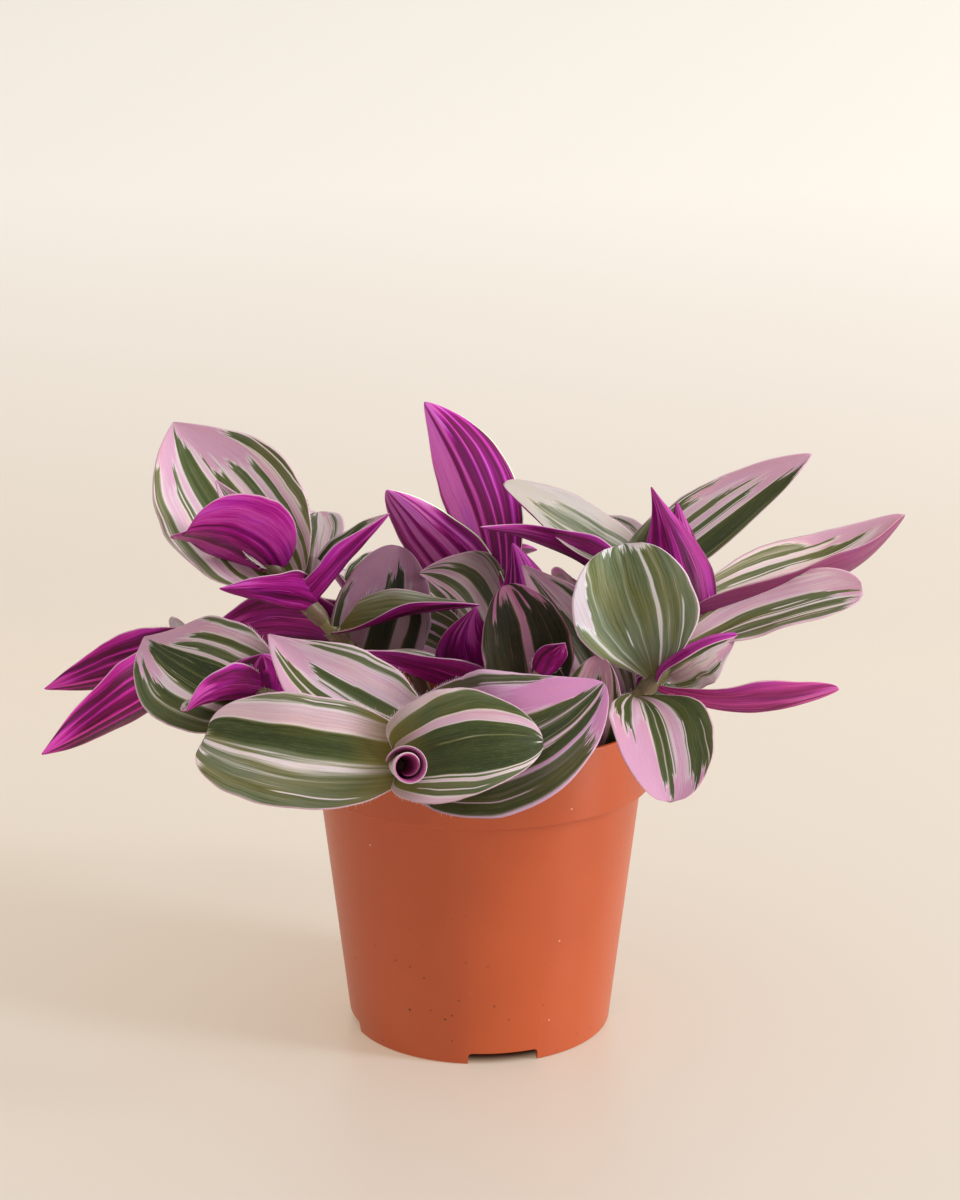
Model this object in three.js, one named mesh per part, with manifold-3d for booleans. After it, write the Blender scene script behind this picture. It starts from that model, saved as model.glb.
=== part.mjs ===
// A potted tradescantia: a nursery pot filled with soil, and eleven leafy shoots that stand in holes in it.
// Millimetres, +Z up. The origin is on the pot's axis at the surface it stands on; the front is -Y.
// Each leaf is a real blade, 0.8 mm thick, that grows from a point on its stem to its own tip.

import * as THREE from "three";
import { mergeVertices } from "three/addons/utils/BufferGeometryUtils.js";
import Module from "manifold-3d";

const wasm = await Module();
wasm.setup();

// The pot, a thin-walled plastic one of the 12 cm size.
const POT_SIDES = 40;
const POT_WALL = 1.6;
const FOOT_RADIUS = 46;
const FOOT_WIDTH = 3;
const FLOOR_HEIGHT = 5;
const NECK_RADIUS = 56.4;
const BAND_BOTTOM = 88;
const BAND_SHOULDER = 3.2;
const BAND_RADIUS = 59.9;
const RIM_TOP = 112;
const RIM_RADIUS = 60.5;
const LIP = 0.7;
const NOTCHES = 4;
const NOTCH_WIDTH = 24;
const NOTCH_HEIGHT = 4.2;
const NOTCH_CORNER = 3.4;
const FIRST_NOTCH_ANGLE = -80;
const DRAIN_HOLES = 6;
const DRAIN_HOLE_RADIUS = 4;
const DRAIN_CIRCLE_RADIUS = 28;
const HOLE_SIDES = 12;

// The soil inside it.
const CLEARANCE = 0.42;
const SOIL_TOP = 104;
const SWELL_HEIGHT = 0.8;
const SWELL_LENGTH = 44;
const RIPPLE_HEIGHT = 0.4;
const RIPPLE_LENGTH = 17;
const SOIL_RINGS = 5;
const SOIL_SIDES = 24;
// The facets of a ring lie inside its circle, so the soil's rings keep a little more room.
const SOIL_ROOM = CLEARANCE + 0.35;

// The stems.
const STEM_SIDES = 5;
const STEM_STEPS = 8;
const STEM_FOOT_RADIUS = 3;
const STEM_TIP_RADIUS = 2.1;
const NODE_SWELL = 0.5;
const NODE_LENGTH = 0.05;

// The blades.
const BLADE_THICKNESS = 0.8;
const BLADE_STEPS_ALONG = 5;
const BLADE_STEPS_ACROSS = 4;
const CLASP_HALF_WIDTH = 1.6;
const CLASP_LENGTH = 0.14;
const CLASP_CUP = 35;
const CLASP_CUP_LENGTH = 0.3;
const TIP_HALF_WIDTH = 0.25;
const TWIST_CENTRE = 0.35;
const WAVES = 2;
const STEP_EASING = 0.6;
const SCROLL_STEPS_AROUND = 12;
const SCROLL_STEPS_ALONG = 4;
const SCROLL_BASE_SHARE = 0.6;
const SCROLL_INNER_SHARE = 0.45;
const SCROLL_SLANT = 0.3;

const DEGREES = Math.PI / 180;

// What a leaf has unless its own entry says otherwise. Angles are in degrees, lengths in millimetres,
// and rise and sway are shares of the leaf's length.
const USUAL_LEAF = {
  rise: 0.08, // how far the midrib bows out on the upper side
  sway: 0, // how far it bows sideways
  cup: 28, // how far each half bends up from the midrib to its edge
  fold: 6, // how far each half is folded up at the midrib
  twist: 0, // how far the blade is turned between its base and its tip
  roll: 0, // turn of the whole blade about its own length
  widest: 0.4, // where along its length it is widest
  heel: 0.5, // how full the base half is: lower is fuller
  point: 1, // how full the tip half is: lower is blunter
  wave: 0.6, // height of the waves in the edge
};

// Every shoot, with the four points that its stem is bent through and its leaves from the bottom up.
// at: where the leaf grows, from 0 at the foot of the stem to 1 at its end. tip: where the leaf ends.
// face: the way its upper side looks, as degrees round from the front (+ to the right) and degrees up.
const SHOOTS = [
  {
    name: "shoot_front",
    stem: [[-12, -24, 92], [-12, -56, 140], [-22, -84, 122], [-25, -104, 123]],
    leaves: [
      { at: 0.62, tip: [-67, -62, 154], face: [-15, 50], width: 36, rise: 0.05, cup: 25 },
      { at: 0.72, tip: [38, -84, 135], face: [5, 30], width: 46,
        rise: 0.12, sway: 0.08, cup: 22, heel: 0.4, point: 0.6 },
      { at: 0.88, tip: [-87, -86, 121], face: [-5, 32], width: 36,
        rise: 0.1, sway: -0.08, cup: 18, widest: 0.45, heel: 0.33, point: 0.5 },
      { at: 0.95, tip: [19, -104, 131], face: [5, 35], width: 36,
        rise: 0.16, cup: 20, heel: 0.33, point: 0.6 },
    ],
    furled: { at: 0.96, tip: [-23, -126, 127], radius: 5.6, turns: 1.35, start: 200 },
  },
  {
    name: "shoot_upper_left",
    stem: [[-20, 4, 92], [-34, 0, 128], [-54, -14, 146], [-72, -14, 168]],
    leaves: [
      { at: 0.4, tip: [-30, 5, 170], face: [10, 20], width: 30 },
      { at: 0.5, tip: [-98, 6, 134], face: [180, 30], width: 40, cup: 20 },
      { at: 0.6, tip: [0, -30, 156], face: [0, 90], width: 24,
        rise: 0.05, cup: 35, twist: -60, roll: 15 },
      { at: 0.66, tip: [-29, -20, 185], face: [180, 74], width: 21, rise: -0.04, fold: 26, cup: 25 },
      { at: 0.7, tip: [-84, -45, 165], face: [180, 72], width: 25, rise: -0.02, fold: 26, cup: 25 },
      { at: 0.8, tip: [-58, 35, 175], face: [0, 40], width: 30, rise: 0.15 },
      { at: 0.84, tip: [-107, 25, 209], face: [5, 28], width: 50, rise: 0.06, heel: 0.55, point: 0.85 },
      { at: 0.93, tip: [-91, -50, 194], face: [-170, 40], width: 40, cup: 35, heel: 0.65 },
      { at: 0.98, tip: [-88, -14, 195], face: [0, 30], width: 16, cup: 70 },
    ],
  },
  {
    name: "shoot_left_front",
    stem: [[-26, -16, 92], [-40, -32, 130], [-60, -52, 128], [-72, -62, 134]],
    leaves: [
      { at: 0.84, tip: [-112, -25, 144], face: [-12, 38], width: 41, sway: -0.09, cup: 25, heel: 0.4 },
      { at: 0.9, tip: [-69, -60, 147], face: [180, 30], width: 30, cup: 45 },
      { at: 0.97, tip: [-92, -80, 133], face: [180, 40], width: 24, cup: 45 },
    ],
  },
  {
    name: "shoot_left",
    stem: [[-30, 0, 92], [-50, -2, 128], [-76, -8, 132], [-100, -12, 138]],
    leaves: [
      { at: 0.26, tip: [-70, 50, 109], face: [-60, 60], width: 30 },
      { at: 0.88, tip: [-142, -54, 112], face: [-172, 25], width: 27, rise: 0.04, cup: 30 },
      { at: 0.93, tip: [-150, -6, 121], face: [172, 30], width: 25, rise: 0.04, cup: 30 },
      { at: 0.98, tip: [-107, 4, 144], face: [0, 20], width: 9, cup: 70 },
    ],
  },
  {
    name: "shoot_back_centre",
    stem: [[4, 20, 92], [4, 26, 112], [6, 32, 126], [6, 30, 140]],
    leaves: [
      { at: 0.8, tip: [-21, 48, 213], face: [170, 10], width: 34, rise: -0.04, sway: -0.1, cup: 25 },
      { at: 0.9, tip: [-32, 8, 188], face: [165, 20], width: 29, sway: -0.04, cup: 25 },
      { at: 0.6, tip: [-21, 0, 161], face: [0, 45], width: 30 },
    ],
  },
  {
    name: "shoot_upper_right",
    stem: [[22, 12, 92], [34, 20, 125], [48, 34, 140], [60, 38, 155]],
    leaves: [
      { at: 0.5, tip: [92, 56, 138], face: [60, 60], width: 32 },
      { at: 0.8, tip: [0, -8, 178], face: [180, 80], width: 24, rise: -0.03, fold: 22, cup: 25 },
      { at: 0.88, tip: [117, 30, 198], face: [-10, 45], width: 30, rise: 0, cup: 25 },
      { at: 0.9, tip: [62, 25, 177], face: [0, 20], width: 16, cup: 50 },
      { at: 0.95, tip: [8, 14, 189], face: [0, 58], width: 30, rise: 0, cup: 30 },
      { at: 0.98, tip: [40, 60, 170], face: [0, 45], width: 22, rise: 0, cup: 30 },
    ],
  },
  {
    name: "shoot_right",
    stem: [[26, -14, 92], [44, -40, 128], [60, -46, 126], [72, -14, 152]],
    leaves: [
      { at: 0.16, tip: [39, -46, 143], face: [0, 30], width: 22 },
      { at: 0.3, tip: [74, 14, 116], face: [60, 50], width: 32 },
      { at: 0.36, tip: [15, -12, 163], face: [0, 55], width: 26, fold: 14 },
      { at: 0.44, tip: [32, -22, 147], face: [180, 20], width: 26 },
      { at: 0.5, tip: [59, -86, 106], face: [10, 30], width: 36,
        rise: 0.28, widest: 0.5, heel: 0.45, point: 0.42 },
      { at: 0.6, tip: [118, -40, 130], face: [180, 56], width: 27, rise: 0, fold: 14 },
      { at: 0.64, tip: [49, -46, 180], face: [-10, 18], width: 42,
        rise: 0.1, widest: 0.58, heel: 0.9, point: 0.42 },
      { at: 0.7, tip: [84, -34, 143], face: [60, 5], width: 28, cup: 80 },
      { at: 0.8, tip: [126, -32, 160], face: [0, 55], width: 27, rise: -0.02, cup: 22, point: 0.5 },
      { at: 0.96, tip: [147, 10, 179], face: [0, 88], width: 36, rise: -0.05, fold: 20, cup: 25 },
      { at: 0.91, tip: [58, -15, 193], face: [180, 5], width: 28, sway: -0.08, cup: 50 },
      { at: 0.98, tip: [67, 0, 185], face: [180, 10], width: 16, cup: 60 },
    ],
  },
  {
    name: "shoot_centre",
    stem: [[2, -12, 92], [8, -22, 115], [16, -36, 125], [20, -44, 136]],
    leaves: [
      { at: 0.3, tip: [11, -10, 172], face: [180, 20], width: 22, cup: 50 },
      { at: 0.5, tip: [-42, -40, 143], face: [180, 80], width: 32, rise: 0, fold: 25, cup: 25 },
      { at: 0.65, tip: [-5, -40, 155], face: [180, 20], width: 30 },
      { at: 0.78, tip: [8, -36, 164], face: [0, 20], width: 31, sway: 0.12, cup: 20 },
      { at: 0.95, tip: [23, -62, 149], face: [180, 20], width: 18, cup: 50 },
    ],
  },
  {
    name: "shoot_middle",
    stem: [[-6, 6, 92], [-10, 30, 126], [-8, 48, 130], [-6, 62, 136]],
    leaves: [
      { at: 0.45, tip: [-46, 42, 134], face: [-60, 60], width: 32 },
      { at: 0.66, tip: [32, 70, 134], face: [120, 60], width: 32 },
      { at: 0.8, tip: [-38, 84, 146], face: [-140, 50], width: 32 },
      { at: 0.92, tip: [22, 92, 150], face: [160, 50], width: 30 },
      { at: 0.98, tip: [-10, 90, 152], face: [0, 60], width: 14, cup: 70 },
    ],
  },
  {
    name: "shoot_back_left",
    stem: [[-14, 24, 92], [-24, 44, 128], [-40, 66, 124], [-50, 84, 132]],
    leaves: [
      { at: 0.4, tip: [-82, 54, 126], face: [-90, 60], width: 36 },
      { at: 0.46, tip: [-2, 78, 114], face: [150, 65], width: 32 },
      { at: 0.7, tip: [-84, 94, 116], face: [-140, 45], width: 40 },
      { at: 0.84, tip: [-16, 117, 122], face: [170, 45], width: 38 },
      { at: 0.95, tip: [-66, 120, 138], face: [180, 40], width: 30, cup: 40 },
      { at: 0.98, tip: [-40, 104, 147], face: [0, 60], width: 14, cup: 70 },
    ],
  },
  {
    name: "shoot_back_right",
    stem: [[16, 26, 92], [28, 46, 126], [44, 62, 122], [56, 80, 130]],
    leaves: [
      { at: 0.4, tip: [82, 44, 118], face: [100, 60], width: 36 },
      { at: 0.55, tip: [14, 96, 112], face: [170, 50], width: 34 },
      { at: 0.64, tip: [86, 88, 110], face: [130, 45], width: 40 },
      { at: 0.86, tip: [30, 123, 124], face: [180, 40], width: 36 },
      { at: 0.95, tip: [76, 112, 138], face: [150, 45], width: 28, cup: 40 },
      { at: 0.98, tip: [50, 104, 146], face: [0, 60], width: 14, cup: 70 },
    ],
  },
];

// The materials, one for each kind of piece.
const POT_PLASTIC = { color: 0xc96a3f, roughness: 0.5, metalness: 0 };
const SOIL = { color: 0x3a2a20, roughness: 0.95, metalness: 0 };
const LEAVES = { color: 0x8f9a76, roughness: 0.45, metalness: 0 };

const clamp01 = (value) => Math.min(1, Math.max(0, value));
const mix = (from, to, share) => from + (to - from) * share;
const vector = (point) => new THREE.Vector3(...point);

// A closed triangle mesh as a solid that can be joined to and cut by others.
function solidFrom(geometry) {
  const bare = geometry.clone();
  bare.deleteAttribute("normal");
  bare.deleteAttribute("uv");
  const merged = mergeVertices(bare, 1e-4);
  const mesh = new wasm.Mesh({
    numProp: 3,
    vertProperties: new Float32Array(merged.attributes.position.array),
    triVerts: new Uint32Array(merged.index.array),
  });
  return new wasm.Manifold(mesh);
}

// The same for points and the triangles between them.
function solidFromTriangles(points, triangles) {
  const geometry = new THREE.BufferGeometry();
  const numbers = points.flatMap((point) => point.toArray());
  geometry.setAttribute("position", new THREE.Float32BufferAttribute(numbers, 3));
  geometry.setIndex(triangles.flat());
  return solidFrom(geometry);
}

// The largest body of a solid, without loose scraps, and with any hollow that joining sealed filled in.
function solidBody(solid) {
  return solid.decompose().reduce((best, body) => (body.volume() > best.volume() ? body : best));
}

// A solid as a named mesh with its own material.
function meshFrom(solid, name, look) {
  const { vertProperties, triVerts, numProp } = solid.getMesh();
  const geometry = new THREE.BufferGeometry();
  const points = new THREE.InterleavedBuffer(vertProperties, numProp);
  geometry.setAttribute("position", new THREE.InterleavedBufferAttribute(points, 3, 0));
  geometry.setIndex(new THREE.BufferAttribute(triVerts, 1));
  const mesh = new THREE.Mesh(geometry, new THREE.MeshStandardMaterial(look));
  mesh.name = name;
  return mesh;
}

// A profile of [radius, height] pairs, which closes on itself, turned about the Z axis.
function turned(profile, sides) {
  const points = [...profile, profile[0]].map(([radius, height]) => new THREE.Vector2(radius, height));
  return solidFrom(new THREE.LatheGeometry(points, sides).rotateX(Math.PI / 2));
}

// The inside of the pot at a given height, measured from the axis.
function insideRadius(height) {
  const share = (height - FLOOR_HEIGHT) / (BAND_BOTTOM - FLOOR_HEIGHT);
  return mix(FOOT_RADIUS, NECK_RADIUS, share) - POT_WALL;
}

// The pot: a tapered wall under a wider band, on a foot ring, with drain holes in its raised floor.
function potSolid() {
  const insideBand = BAND_RADIUS - POT_WALL;
  const profile = [
    [FOOT_RADIUS - FOOT_WIDTH, 0],
    [FOOT_RADIUS, 0],
    [NECK_RADIUS, BAND_BOTTOM],
    [BAND_RADIUS - LIP, BAND_BOTTOM],
    [BAND_RADIUS, BAND_BOTTOM + LIP],
    [RIM_RADIUS, RIM_TOP - LIP],
    [RIM_RADIUS - LIP, RIM_TOP],
    [RIM_RADIUS - POT_WALL, RIM_TOP],
    [RIM_RADIUS - POT_WALL - LIP, RIM_TOP - LIP],
    [insideBand, BAND_BOTTOM + BAND_SHOULDER],
    [NECK_RADIUS - POT_WALL, BAND_BOTTOM],
    [insideRadius(FLOOR_HEIGHT), FLOOR_HEIGHT],
    [0, FLOOR_HEIGHT],
    [0, FLOOR_HEIGHT - POT_WALL],
    [FOOT_RADIUS - FOOT_WIDTH, FLOOR_HEIGHT - POT_WALL],
  ];
  let pot = turned(profile, POT_SIDES);
  for (let i = 0; i < NOTCHES; i++) {
    pot = pot.subtract(notchSolid(FIRST_NOTCH_ANGLE + (360 / NOTCHES) * i));
  }
  pot = pot.subtract(drainHole(0, 0));
  for (let i = 0; i < DRAIN_HOLES; i++) {
    const angle = (i + 0.5) * (360 / DRAIN_HOLES) * DEGREES;
    const [x, y] = [DRAIN_CIRCLE_RADIUS * Math.cos(angle), DRAIN_CIRCLE_RADIUS * Math.sin(angle)];
    pot = pot.subtract(drainHole(x, y));
  }
  return pot;
}

// A gap in the foot ring with rounded upper corners, which lets water out from under the pot.
function notchSolid(angle) {
  const outline = new THREE.Shape();
  const half = NOTCH_WIDTH / 2;
  const cornerHeight = NOTCH_HEIGHT - NOTCH_CORNER;
  outline.moveTo(-half, -NOTCH_HEIGHT);
  outline.lineTo(half, -NOTCH_HEIGHT);
  outline.absarc(half - NOTCH_CORNER, cornerHeight, NOTCH_CORNER, 0, Math.PI / 2);
  outline.absarc(NOTCH_CORNER - half, cornerHeight, NOTCH_CORNER, Math.PI / 2, Math.PI);
  outline.closePath();
  const depth = FOOT_WIDTH * 3;
  const geometry = new THREE.ExtrudeGeometry(outline, { depth, curveSegments: 4, bevelEnabled: false });
  geometry.translate(0, 0, FOOT_RADIUS - depth / 2);
  geometry.rotateX(Math.PI / 2);
  geometry.rotateZ(Math.PI);
  geometry.rotateZ((angle - 90) * DEGREES);
  return solidFrom(geometry);
}

// A round hole in the pot's floor.
function drainHole(x, y) {
  const hole = new THREE.CylinderGeometry(DRAIN_HOLE_RADIUS, DRAIN_HOLE_RADIUS, FLOOR_HEIGHT * 3, HOLE_SIDES);
  hole.rotateX(Math.PI / 2);
  hole.translate(x, y, FLOOR_HEIGHT);
  return solidFrom(hole);
}

// The uneven top of the soil: a broad swell with a finer ripple across it.
function soilHeight(x, y) {
  const swell = Math.sin((2 * Math.PI * x) / SWELL_LENGTH) * Math.cos((2 * Math.PI * y) / SWELL_LENGTH);
  const ripple = Math.sin((2 * Math.PI * (x - y)) / RIPPLE_LENGTH);
  return SOIL_TOP + SWELL_HEIGHT * swell + RIPPLE_HEIGHT * ripple;
}

// The soil fills the pot, with a flat underside and an uneven top made of rings of points.
function soilSolid() {
  const points = [];
  const triangles = [];
  const addRing = (radius, heightAt) => {
    for (let i = 0; i < SOIL_SIDES; i++) {
      const angle = (i / SOIL_SIDES) * 2 * Math.PI;
      const [x, y] = [radius * Math.cos(angle), radius * Math.sin(angle)];
      points.push(new THREE.Vector3(x, y, heightAt(x, y)));
    }
  };
  const bottom = FLOOR_HEIGHT + CLEARANCE;
  const bandFoot = BAND_BOTTOM + BAND_SHOULDER;
  const outermost = BAND_RADIUS - POT_WALL - SOIL_ROOM;
  addRing(insideRadius(bottom) - SOIL_ROOM, () => bottom);
  addRing(insideRadius(BAND_BOTTOM) - SOIL_ROOM, () => BAND_BOTTOM + SOIL_ROOM);
  addRing(outermost, () => bandFoot + SOIL_ROOM * 2);
  for (let ring = 0; ring < SOIL_RINGS; ring++) {
    addRing(outermost * (1 - ring / SOIL_RINGS), soilHeight);
  }
  const rings = points.length / SOIL_SIDES;
  for (let ring = 0; ring + 1 < rings; ring++) {
    for (let i = 0; i < SOIL_SIDES; i++) {
      const next = (i + 1) % SOIL_SIDES;
      const [a, b] = [ring * SOIL_SIDES + i, ring * SOIL_SIDES + next];
      triangles.push([a, b, b + SOIL_SIDES], [a, b + SOIL_SIDES, a + SOIL_SIDES]);
    }
  }
  const below = points.push(new THREE.Vector3(0, 0, bottom)) - 1;
  const above = points.push(new THREE.Vector3(0, 0, soilHeight(0, 0))) - 1;
  const last = (rings - 1) * SOIL_SIDES;
  for (let i = 0; i < SOIL_SIDES; i++) {
    const next = (i + 1) % SOIL_SIDES;
    triangles.push([below, next, i], [above, last + i, last + next]);
  }
  return solidFromTriangles(points, triangles);
}

// The line that a shoot's stem follows.
function stemCurve(shoot) {
  return new THREE.CubicBezierCurve3(...shoot.stem.map(vector));
}

// A stem thins towards its end and swells at each leaf's node.
function stemRadius(shoot, share) {
  const swell = shoot.leaves.reduce((sum, leaf) => {
    return Math.max(sum, Math.exp(-(((share - leaf.at) / NODE_LENGTH) ** 2)));
  }, 0);
  return mix(STEM_FOOT_RADIUS, STEM_TIP_RADIUS, share) + NODE_SWELL * swell;
}

// A round stem as rings of points round its curve, with extra room round it where it is cut from the soil.
function stemSolid(shoot, room = 0) {
  const curve = stemCurve(shoot);
  const points = [];
  const triangles = [];
  for (let step = 0; step <= STEM_STEPS; step++) {
    const share = step / STEM_STEPS;
    const along = curve.getTangent(share);
    const side = new THREE.Vector3(0, 1, 0).cross(along).normalize();
    const up = new THREE.Vector3().crossVectors(along, side);
    const centre = curve.getPoint(share);
    if (step === 0) centre.addScaledVector(along, -room);
    for (let i = 0; i < STEM_SIDES; i++) {
      const angle = (i / STEM_SIDES) * 2 * Math.PI;
      const out = side.clone().multiplyScalar(Math.cos(angle)).addScaledVector(up, Math.sin(angle));
      points.push(centre.clone().addScaledVector(out, stemRadius(shoot, share) + room));
    }
  }
  for (let step = 0; step < STEM_STEPS; step++) {
    for (let i = 0; i < STEM_SIDES; i++) {
      const next = (i + 1) % STEM_SIDES;
      const [a, b] = [step * STEM_SIDES + i, step * STEM_SIDES + next];
      triangles.push([a, b, b + STEM_SIDES], [a, b + STEM_SIDES, a + STEM_SIDES]);
    }
  }
  const last = STEM_STEPS * STEM_SIDES;
  for (let i = 1; i + 1 < STEM_SIDES; i++) {
    triangles.push([0, i + 1, i], [last, last + i, last + i + 1]);
  }
  return solidFromTriangles(points, triangles);
}

// Half the width of a leaf at a share of its length: a narrow clasp on the stem, then the blade.
function halfWidth(leaf, share) {
  const skew = Math.log(0.5) / Math.log(leaf.widest);
  const outline = Math.max(0, Math.sin(Math.PI * share ** skew));
  const fullness = share < leaf.widest ? leaf.heel : leaf.point;
  const clasp = CLASP_HALF_WIDTH * clamp01(1 - share / CLASP_LENGTH) ** 2;
  return (leaf.width / 2) * outline ** fullness + clasp + TIP_HALF_WIDTH;
}

// The direction that a pair of degrees round from the front and degrees up stands for.
function faceDirection([round, up]) {
  const [turn, lift] = [round * DEGREES, up * DEGREES];
  return new THREE.Vector3(Math.sin(turn) * Math.cos(lift), -Math.cos(turn) * Math.cos(lift), Math.sin(lift));
}

// A point on a blade's middle surface and the direction of its upper side there. share runs from the base
// to the tip, across from -1 at one edge to 1 at the other.
function bladePoint(leaf, base, share, across) {
  const chord = vector(leaf.tip).sub(base);
  const length = chord.length();
  const ahead = chord.clone().normalize();
  const upper = faceDirection(leaf.face);
  upper.addScaledVector(ahead, -upper.dot(ahead)).normalize();
  const beside = new THREE.Vector3().crossVectors(ahead, upper);

  const bow = 4 * share * (1 - share);
  const bowSlope = 4 * (1 - 2 * share);
  const rib = base.clone().addScaledVector(chord, share);
  rib.addScaledVector(upper, length * leaf.rise * bow);
  rib.addScaledVector(beside, length * leaf.sway * bow);
  const run = ahead.clone().addScaledVector(beside, leaf.sway * bowSlope);
  run.addScaledVector(upper, leaf.rise * bowSlope).normalize();

  const flatUp = upper.clone().addScaledVector(run, -upper.dot(run)).normalize();
  const flatSide = new THREE.Vector3().crossVectors(run, flatUp);
  const turn = (leaf.roll + leaf.twist * (share - TWIST_CENTRE)) * DEGREES;
  const up = flatUp.clone().multiplyScalar(Math.cos(turn)).addScaledVector(flatSide, Math.sin(turn));
  const side = flatSide.multiplyScalar(Math.cos(turn)).addScaledVector(flatUp, -Math.sin(turn));

  const hand = Math.sign(across);
  const reach = Math.abs(across);
  const claspCup = CLASP_CUP * clamp01(1 - share / CLASP_CUP_LENGTH) ** 2;
  const cup = (leaf.cup + claspCup) * DEGREES;
  const fold = leaf.fold * DEGREES;
  const bend = fold + cup * reach;
  const half = halfWidth(leaf, share);
  const out = (half * (Math.sin(bend) - Math.sin(fold))) / cup;
  const wave = leaf.wave * Math.sin(2 * Math.PI * WAVES * share) * Math.sin(Math.PI * share);
  const lift = (half * (Math.cos(fold) - Math.cos(bend))) / cup + wave * reach ** 3 * hand;
  const lean = reach === 0 ? 0 : bend;
  return {
    point: rib.addScaledVector(side, out * hand).addScaledVector(up, lift),
    normal: up.multiplyScalar(Math.cos(lean)).addScaledVector(side, -Math.sin(lean) * hand),
  };
}

// A furled young leaf: a blade rolled up into a scroll that widens towards its mouth.
function scrollPoint(furled, base, share, across) {
  const chord = vector(furled.tip).sub(base);
  const ahead = chord.clone().normalize();
  const side = new THREE.Vector3(0, 0, 1).cross(ahead).normalize();
  const up = new THREE.Vector3().crossVectors(ahead, side);
  const around = (across + 1) / 2;
  const angle = (furled.start + 360 * furled.turns * around) * DEGREES;
  const radius = furled.radius * mix(SCROLL_BASE_SHARE, 1, share) * mix(SCROLL_INNER_SHARE, 1, around);
  const normal = side.multiplyScalar(Math.cos(angle)).addScaledVector(up, Math.sin(angle));
  const reach = share * (1 - SCROLL_SLANT * across ** 2);
  return { point: base.clone().addScaledVector(chord, reach).addScaledVector(normal, radius), normal };
}

// Shorter steps near both ends of a leaf, where its outline turns fastest.
const eased = (share) => mix(share, (1 - Math.cos(Math.PI * share)) / 2, STEP_EASING);

// A thin solid on both sides of a surface, its two faces split into triangles alike.
function sheetSolid(surface, stepsAlong, stepsAcross) {
  const upper = [];
  const lower = [];
  for (let i = 0; i <= stepsAlong; i++) {
    for (let j = 0; j <= stepsAcross; j++) {
      const { point, normal } = surface(eased(i / stepsAlong), (2 * j) / stepsAcross - 1);
      upper.push(point.clone().addScaledVector(normal, BLADE_THICKNESS / 2));
      lower.push(point.clone().addScaledVector(normal, -BLADE_THICKNESS / 2));
    }
  }
  const under = upper.length;
  const row = stepsAcross + 1;
  const triangles = [];
  for (let i = 0; i < stepsAlong; i++) {
    for (let j = 0; j < stepsAcross; j++) {
      const [a, b, c, d] = [i * row + j, i * row + j + 1, (i + 1) * row + j + 1, (i + 1) * row + j];
      triangles.push([a, b, c], [a, c, d]);
      triangles.push([a + under, c + under, b + under], [a + under, d + under, c + under]);
    }
  }
  const addEdge = (a, b) => triangles.push([b, a, a + under], [b, a + under, b + under]);
  for (let i = 0; i < stepsAlong; i++) {
    addEdge((i + 1) * row, i * row);
    addEdge(i * row + stepsAcross, (i + 1) * row + stepsAcross);
  }
  for (let j = 0; j < stepsAcross; j++) {
    addEdge(j, j + 1);
    addEdge(stepsAlong * row + j + 1, stepsAlong * row + j);
  }
  return solidFromTriangles([...upper, ...lower], triangles);
}

// One shoot: its stem and all its leaves, fused where the leaves clasp the stem.
function shootSolid(shoot) {
  const curve = stemCurve(shoot);
  let solid = stemSolid(shoot);
  for (const entry of shoot.leaves) {
    const leaf = { ...USUAL_LEAF, ...entry };
    const base = curve.getPoint(leaf.at);
    const surface = (share, across) => bladePoint(leaf, base, share, across);
    solid = solid.add(sheetSolid(surface, BLADE_STEPS_ALONG, BLADE_STEPS_ACROSS));
  }
  if (shoot.furled) {
    const base = curve.getPoint(shoot.furled.at);
    const surface = (share, across) => scrollPoint(shoot.furled, base, share, across);
    solid = solid.add(sheetSolid(surface, SCROLL_STEPS_ALONG, SCROLL_STEPS_AROUND));
  }
  return solidBody(solid);
}

const plant = new THREE.Group();
plant.add(meshFrom(potSolid(), "pot", POT_PLASTIC));

let soil = soilSolid();
for (const shoot of SHOOTS) {
  soil = soil.subtract(stemSolid(shoot, CLEARANCE));
  plant.add(meshFrom(shootSolid(shoot), shoot.name, LEAVES));
}
plant.add(meshFrom(soil, "soil", SOIL));

export default plant;
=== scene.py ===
# The finish of a potted tradescantia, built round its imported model: a smooth turned nursery pot, crumbly
# soil with white grains, and eleven shoots whose fine leaves are striped above and purple below.
# Blender works in metres. The tables below are in millimetres, as a gardener would measure them.
import functools
import math

import bmesh
import bpy
from mathutils import Matrix, Vector


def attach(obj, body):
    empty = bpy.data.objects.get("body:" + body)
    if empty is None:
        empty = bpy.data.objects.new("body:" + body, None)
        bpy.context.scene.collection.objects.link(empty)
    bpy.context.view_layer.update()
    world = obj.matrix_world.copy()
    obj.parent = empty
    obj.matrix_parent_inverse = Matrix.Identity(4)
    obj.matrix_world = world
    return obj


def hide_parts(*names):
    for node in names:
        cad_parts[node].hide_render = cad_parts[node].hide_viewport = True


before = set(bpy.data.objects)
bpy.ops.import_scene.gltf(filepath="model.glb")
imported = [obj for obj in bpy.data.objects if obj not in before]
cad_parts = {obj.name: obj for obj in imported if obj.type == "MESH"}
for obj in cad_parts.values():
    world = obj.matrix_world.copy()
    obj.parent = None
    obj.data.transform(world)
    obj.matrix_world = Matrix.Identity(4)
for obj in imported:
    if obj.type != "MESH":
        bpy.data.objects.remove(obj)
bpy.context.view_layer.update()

MM = 0.001

# The photo's camera: where it stands, how many degrees it looks down, and its lens.
CAMERA_PLACE = (0, -738, 318)
CAMERA_DIP = 12.75
LENS = 66
SENSOR = 36
NEAREST = 0.01
FARTHEST = 30


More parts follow.
